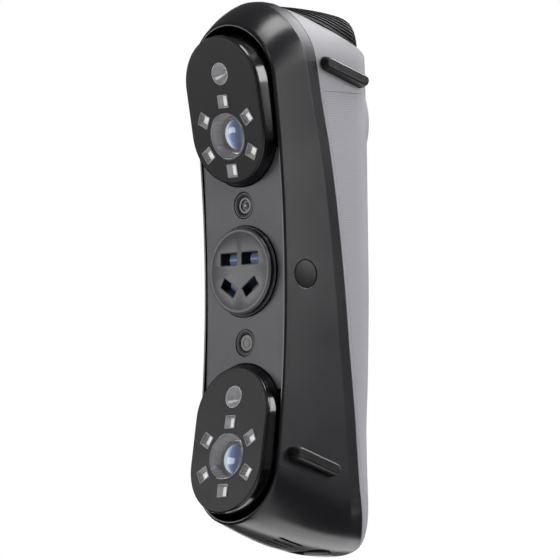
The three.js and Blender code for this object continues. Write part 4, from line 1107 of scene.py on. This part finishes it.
def pod_cup(pod, spec, tilted):
    """The small metal cup with its toothed edge, a painted highlight streak and the emitter."""
    profile = [
        (1.3, 4.9), (3.3, 4.9), (4.15, 3.3), (4.15, 0.15), (4.02, 0.0), (3.86, 0.0),
        (3.7, 0.2), (3.3, 1.2), (2.6, 2.4), (1.8, 3.4), (1.3, 4.0)]
    piece(pod + "_cup_skin", moved(lathe(profile, 36, spec["cup"]), tilted), ["cup_metal"],
          "reflector_metal", replaces=pod + "_reflector", angle=4)
    centre = tilted @ shift(0, 0, spec["cup"])
    teeth = [moved(soft_box(3.75, 4.24, -0.14, 0.4, -0.15, 0.15, 0.06),
                   centre @ turn(pi / 2 + i * 0.2 - 0.15)) for i in range(-3, 4)]
    teeth += [moved(soft_box(3.85, 4.24, -0.1, 0.4, -0.12, 0.12, 0.05),
                    centre @ turn(pi / 2 - 1.1 - i * 0.17)) for i in range(5)]
    piece(pod + "_cup_teeth", join(teeth), ["well_rim"], "reflector_metal", angle=35)
    # The painted highlight streak is wide at the rim and narrow at the bottom.
    verts, faces = prism([(3.95, 0.1), (1.0, 3.6), (1.0, 3.9), (3.95, 0.5)], -1, 1, "z")
    verts = [(r, y, side * (0.62 if r > 2 else 0.14)) for r, y, side in verts]
    piece(pod + "_cup_painted_highlight", moved((verts, faces), centre @ turn(radians(150))),
          ["cup_painted_highlight"], "reflector_metal", angle=35)
    bulb = [(0, 5.4), (1.25, 5.4), (1.25, 3.95), (1.15, 3.75), (0.7, 3.6), (0, 3.55)]
    piece(pod + "_cup_emitter", moved(lathe(bulb, 40, spec["cup"]), tilted), ["cup_metal"],
          "reflector_metal", angle=60)


def pods():
    for pod, spec in PODS.items():
        tilted = shift(0, spec["y"], spec["z"]) @ turn(POD_TILT * spec["sign"], "X")
        for build in (pod_housing, pod_cover, pod_emitters, pod_board, lens_well, lens_ribs,
                      lens_glass, pod_cup):
            build(pod, spec, tilted)


# ---------------------------------------------------------------- side feet
def knurl(place, lean):
    """Slanting grooves across the flat face of a foot."""
    grooves = []
    for d in np.arange(-FOOT_HALF - 1, FOOT_HALF + 1, 0.75):
        corners = [(d - 0.16 - lean * 1.2, -1.2), (d + 0.16 - lean * 1.2, -1.2),
                   (d + 0.16 + lean * 1.2, 1.2), (d - 0.16 + lean * 1.2, 1.2)]
        grooves.append(prism(turned(corners, -FOOT_ANGLE, place),
                             FOOT_X - FOOT_BEVEL, FOOT_X + 0.5, "x"))
    return join(grooves)


def side_feet(seat):
    # (x, radius of the round ends), from the outer face inwards
    levels = [(FOOT_X, 1.4), (FOOT_X - FOOT_BEVEL, 1.66), (FOOT_X - 0.5, 1.95),
              (FOOT_X - 2.4, 2.6), (15, 3.3)]
    for name, place in FEET.items():
        foot = stacked([[(x, y, z) for y, z in
                         turned(flat_stadium(r, FOOT_HALF, 13), -FOOT_ANGLE, place)]
                        for x, r in levels])
        for side_name, side in SIDES:
            cuts = [seat] + [mirrored(knurl(place, lean), side) for lean in (1, -1)]
            # The second material is a painted edge highlight colour.
            piece(f"{side_name}_{name}_foot_skin", mirrored(foot, side),
                  ["rubber", "foot_painted_edge_highlight"], "rubber", cuts,
                  replaces=f"{side_name}_{name}_foot", angle=30)


# ---------------------------------------------------------------- rear controls and port
def controls(seat):
    back = back_y(PAD_Z)
    top = back + PAD_PROUD
    rx = PAD_RX
    profile = [(0, back - 4), (rx, back - 4), (rx, top - 0.7), (rx - 0.1, top - 0.35),
               (rx - 0.35, top - 0.1), (rx - 0.7, top), (0, top)]
    piece("control_pad_skin", lathe(profile, 96, PAD_Z, PAD_RZ / rx), ["grey_shell"],
          "grey_shell", [seat, button_holes(30, scan_gap=0.3, key_gap=0.25, key_count=56)],
          replaces="control_pad", angle=30)

    foot, flange, flange_back = 44.6, 45.0, 45.5  # y of the stem and flange inside
    profile = [
        (0, foot), (2.2, foot), (2.2, flange), (7.1, flange), (7.1, flange_back),
        (SCAN_R, flange_back), (SCAN_R, top + 0.55), (6.25, top + 0.9), (5.8, top + 1.12),
        (5.4, top + 1.18), (4.2, top + 1.0), (2.2, top + 0.82), (0, top + 0.78)]
    piece("scan_button_skin", lathe(profile, 96, PAD_Z), ["black_plastic"], "black_plastic",
          replaces="scan_button", body="scan_button", angle=40)

    profile = [
        (0, foot), (1.4, foot), (1.4, flange), (4.4, flange), (4.4, flange_back),
        (KEY_R, flange_back), (KEY_R, top + 0.4), (3.68, top + 0.65), (3.4, top + 0.8),
        (2.4, top + 0.87), (0, top + 0.9)]
    for name, sign in (("plus_button", 1), ("minus_button", -1)):
        z = PAD_Z + sign * KEY_OFFSET
        marks = [box(-1.5, 1.5, top + 0.7, top + 1.4, z - 0.22, z + 0.22)]
        if sign == 1:
            marks.append(box(-0.22, 0.22, top + 0.7, top + 1.4, z - 1.5, z + 1.5))
        piece(name + "_skin", lathe(profile, 64, z), ["black_plastic"], "black_plastic", marks,
              replaces=name, body=name, angle=40)


def port_seal():
    piece("port_seal_skin", prism(port_outline(PORT_R - 0.3), -100.6, -95.5, "z"), ["rubber"],
          "rubber", [prism(port_outline(PORT_R - 1.5), -105, -90, "z")], replaces="port_seal")


# ---------------------------------------------------------------- CAD pieces that stay
CAD_MATERIALS = {
    "laser_block": "blasted_aluminium", "optical_frame": "blasted_aluminium",
    "heat_sink": "blasted_aluminium", "data_socket": "plain_steel",
    "upper_flex_cable": "polyimide_film", "lower_flex_cable": "polyimide_film",
}


def cad_material(name):
    if name in CAD_MATERIALS:
        return CAD_MATERIALS[name]
    if name.startswith(("frame_screw", "laser_module")):
        return "plain_steel"
    if name.endswith("led_board"):
        return "emitter_pocket"
    return "solder_mask" if name.endswith("board") else "black_plastic"


def dress_cad_pieces():
    for name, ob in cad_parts.items():
        if ob.hide_render:
            continue
        ob.data.materials.clear()
        ob.data.materials.append(MATERIALS[cad_material(name)])
        for polygon in ob.data.polygons:
            polygon.use_smooth = False


make_materials()
front_shell()
side_plugs()
rear_shell()
rear_grip()
top_cap()
front_panel()
projector_disc()
projector_windows()
panel_windows()
pods()
SEAT = body_loft(inset=-0.2)  # trims what sits on the housing
side_feet(SEAT)
controls(SEAT)
port_seal()
dress_cad_pieces()

# ---------------------------------------------------------------- floor, world, lights; metres
FLOOR_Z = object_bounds()[0].z - 0.24


def sheet(name, x_range, y_range, z, material):
    (x0, x1), (y0, y1) = x_range, y_range
    mesh = bpy.data.meshes.new(name)
    mesh.from_pydata([(x0, y0, z), (x1, y0, z), (x1, y1, z), (x0, y1, z)], [], [(0, 1, 2, 3)])
    mesh.materials.append(material)
    ob = bpy.data.objects.new(name, mesh)
    COLLECTION.objects.link(ob)
    return ob


def make_floor():
    """A pale floor that glows only for the camera."""
    made, tree, shader = new_material("pale_floor")
    seen = add_node(tree, "LightPath").outputs["Is Camera Ray"]
    glow = add_node(tree, "Math", {0: seen, 1: 0.62}, operation="MULTIPLY")
    set_inputs(tree, shader, {
        "Base Color": (0.92, 0.92, 0.92, 1), "Roughness": 0.9,
        "Emission Color": (1, 1, 1, 1), "Emission Strength": glow.outputs[0]})
    floor = sheet("floor", (-12, 12), (-12, 12), 0, made)
    floor.location = (0, 0, FLOOR_Z)


def make_world():
    """White for the camera; a soft gradient, brighter upwards, for everything else."""
    world = bpy.data.worlds.new("studio")
    bpy.context.scene.world = world
    world.use_nodes = True
    tree = world.node_tree
    tree.nodes.clear()
    white = add_node(tree, "Background", {0: (1, 1, 1, 1), 1: 1.0})
    direction = add_node(tree, "TexCoord").outputs["Generated"]
    height = add_node(tree, "SeparateXYZ", {0: direction}).outputs["Z"]
    gradient = color_ramp(tree, map_range(tree, height, (-1, 1), (0, 1)), [
        (0.0, (0.30, 0.30, 0.31, 1)), (0.5, (0.55, 0.55, 0.56, 1)), (1.0, (1.0, 1.0, 1.0, 1))])
    soft = add_node(tree, "Background", {0: gradient, 1: 0.15})
    seen = add_node(tree, "LightPath").outputs["Is Camera Ray"]
    mixed = add_node(tree, "MixShader", {0: seen, 1: soft.outputs[0], 2: white.outputs[0]})
    add_node(tree, "OutputWorld", {0: mixed.outputs[0]})


def area(name, at, aim, size, power):
    light = bpy.data.lights.new(name, "AREA")
    light.shape = "RECTANGLE"
    light.size, light.size_y = size
    light.energy = power
    ob = bpy.data.objects.new(name, light)
    ob.location = at
    ob.rotation_euler = (Vector(aim) - Vector(at)).to_track_quat("-Z", "Y").to_euler()
    COLLECTION.objects.link(ob)
    return ob


def make_lights():
    area("side_card", at=(0.88, 0.66, 0.43), aim=(0, 0, 0.06), size=(0.44, 0.54), power=5.5)
    dome = area("top_back", at=(0.16, 0.82, 0.74), aim=(0, 0, 0.05), size=(0.80, 0.56),
                power=17.0)
    dome.visible_diffuse = False  # it only makes the highlight on the dome
    area("top_side", at=(0.40, 0.10, 1.15), aim=(0, 0, 0.05), size=(0.6, 0.5), power=6.0)
    area("left_front", at=(-1.05, -1.05, 0.155), aim=(0, 0, 0), size=(0.9, 0.44), power=5.9)
    area("left_back", at=(-1.0, 0.95, 0.0), aim=(0, 0, 0), size=(0.35, 1.0), power=2.2)
    area("right_front", at=(1.0, -0.9, 0.85), aim=(0, 0, 0), size=(0.4, 0.4), power=1.6)
    back = area("back_side", at=(0.75, 1.25, -0.1), aim=(0, 0, 0), size=(0.5, 1.0), power=15.0)
    back.visible_glossy = False  # it lights the grey shell, with no streak on the dark one


def flag(name, x_range, y_range, tone, glow=0.0):
    """A dark or bright card on the floor that only reflections see."""
    made, tree, shader = new_material(name)
    set_inputs(tree, shader, {
        "Base Color": (tone, tone, tone, 1), "Roughness": 1.0, "Specular IOR Level": 0.0,
        "Emission Color": (1, 1, 1, 1), "Emission Strength": glow})
    ob = sheet(name, x_range, y_range, FLOOR_Z + 0.004, made)
    ob.visible_camera = ob.visible_diffuse = False
    ob.visible_shadow = ob.visible_transmission = False


def make_camera():
    """A long lens at the scanner's front left, a little below it."""
    azimuth, elevation, roll = radians(45), radians(-4), 0.0129
    distance = 4.0
    view_width = 204.828091  # mm across the picture at the target
    aim_right, aim_up = 12.9480614, -3.29188003  # mm from the design origin
    forward = -Vector((sin(azimuth) * cos(elevation), -cos(azimuth) * cos(elevation),
                       sin(elevation)))
    right = Vector((cos(azimuth), sin(azimuth), 0))
    up = right.cross(forward)
    target = Vector(to_frame((0, 0, 0))) + right * (aim_right * MM) + up * (aim_up * MM)
    rolled_right = right * cos(roll) - up * sin(roll)
    rolled_up = up * cos(roll) + right * sin(roll)
    data = bpy.data.cameras.new("camera")
    data.sensor_width = 36
    data.lens = 36 * distance * 1000 / view_width
    data.clip_end = 100
    camera = bpy.data.objects.new("camera", data)
    rotation = Matrix((rolled_right, rolled_up, -forward)).transposed().to_4x4()
    camera.matrix_world = Matrix.Translation(target - forward * distance) @ rotation
    COLLECTION.objects.link(camera)
    bpy.context.scene.camera = camera


make_floor()
make_world()
make_lights()
flag("flag_right", (0.06, 1.6), (0.06, 1.1), tone=0.008)
flag("flag_middle", (-1.0, -0.02), (-0.5, 0.05), tone=0.01)
flag("glow_back", (-0.22, 0.060), (0.050, 0.60), tone=0.9, glow=1.5)
flag("flag_back", (-3.0, -0.225), (0.055, 3.0), tone=0.10)
flag("flag_left", (-2.4, -0.10), (-2.4, -0.51), tone=0.10)
make_camera()
bpy.context.scene.view_settings.view_transform = "Standard"
bpy.context.scene.view_settings.look = "None"
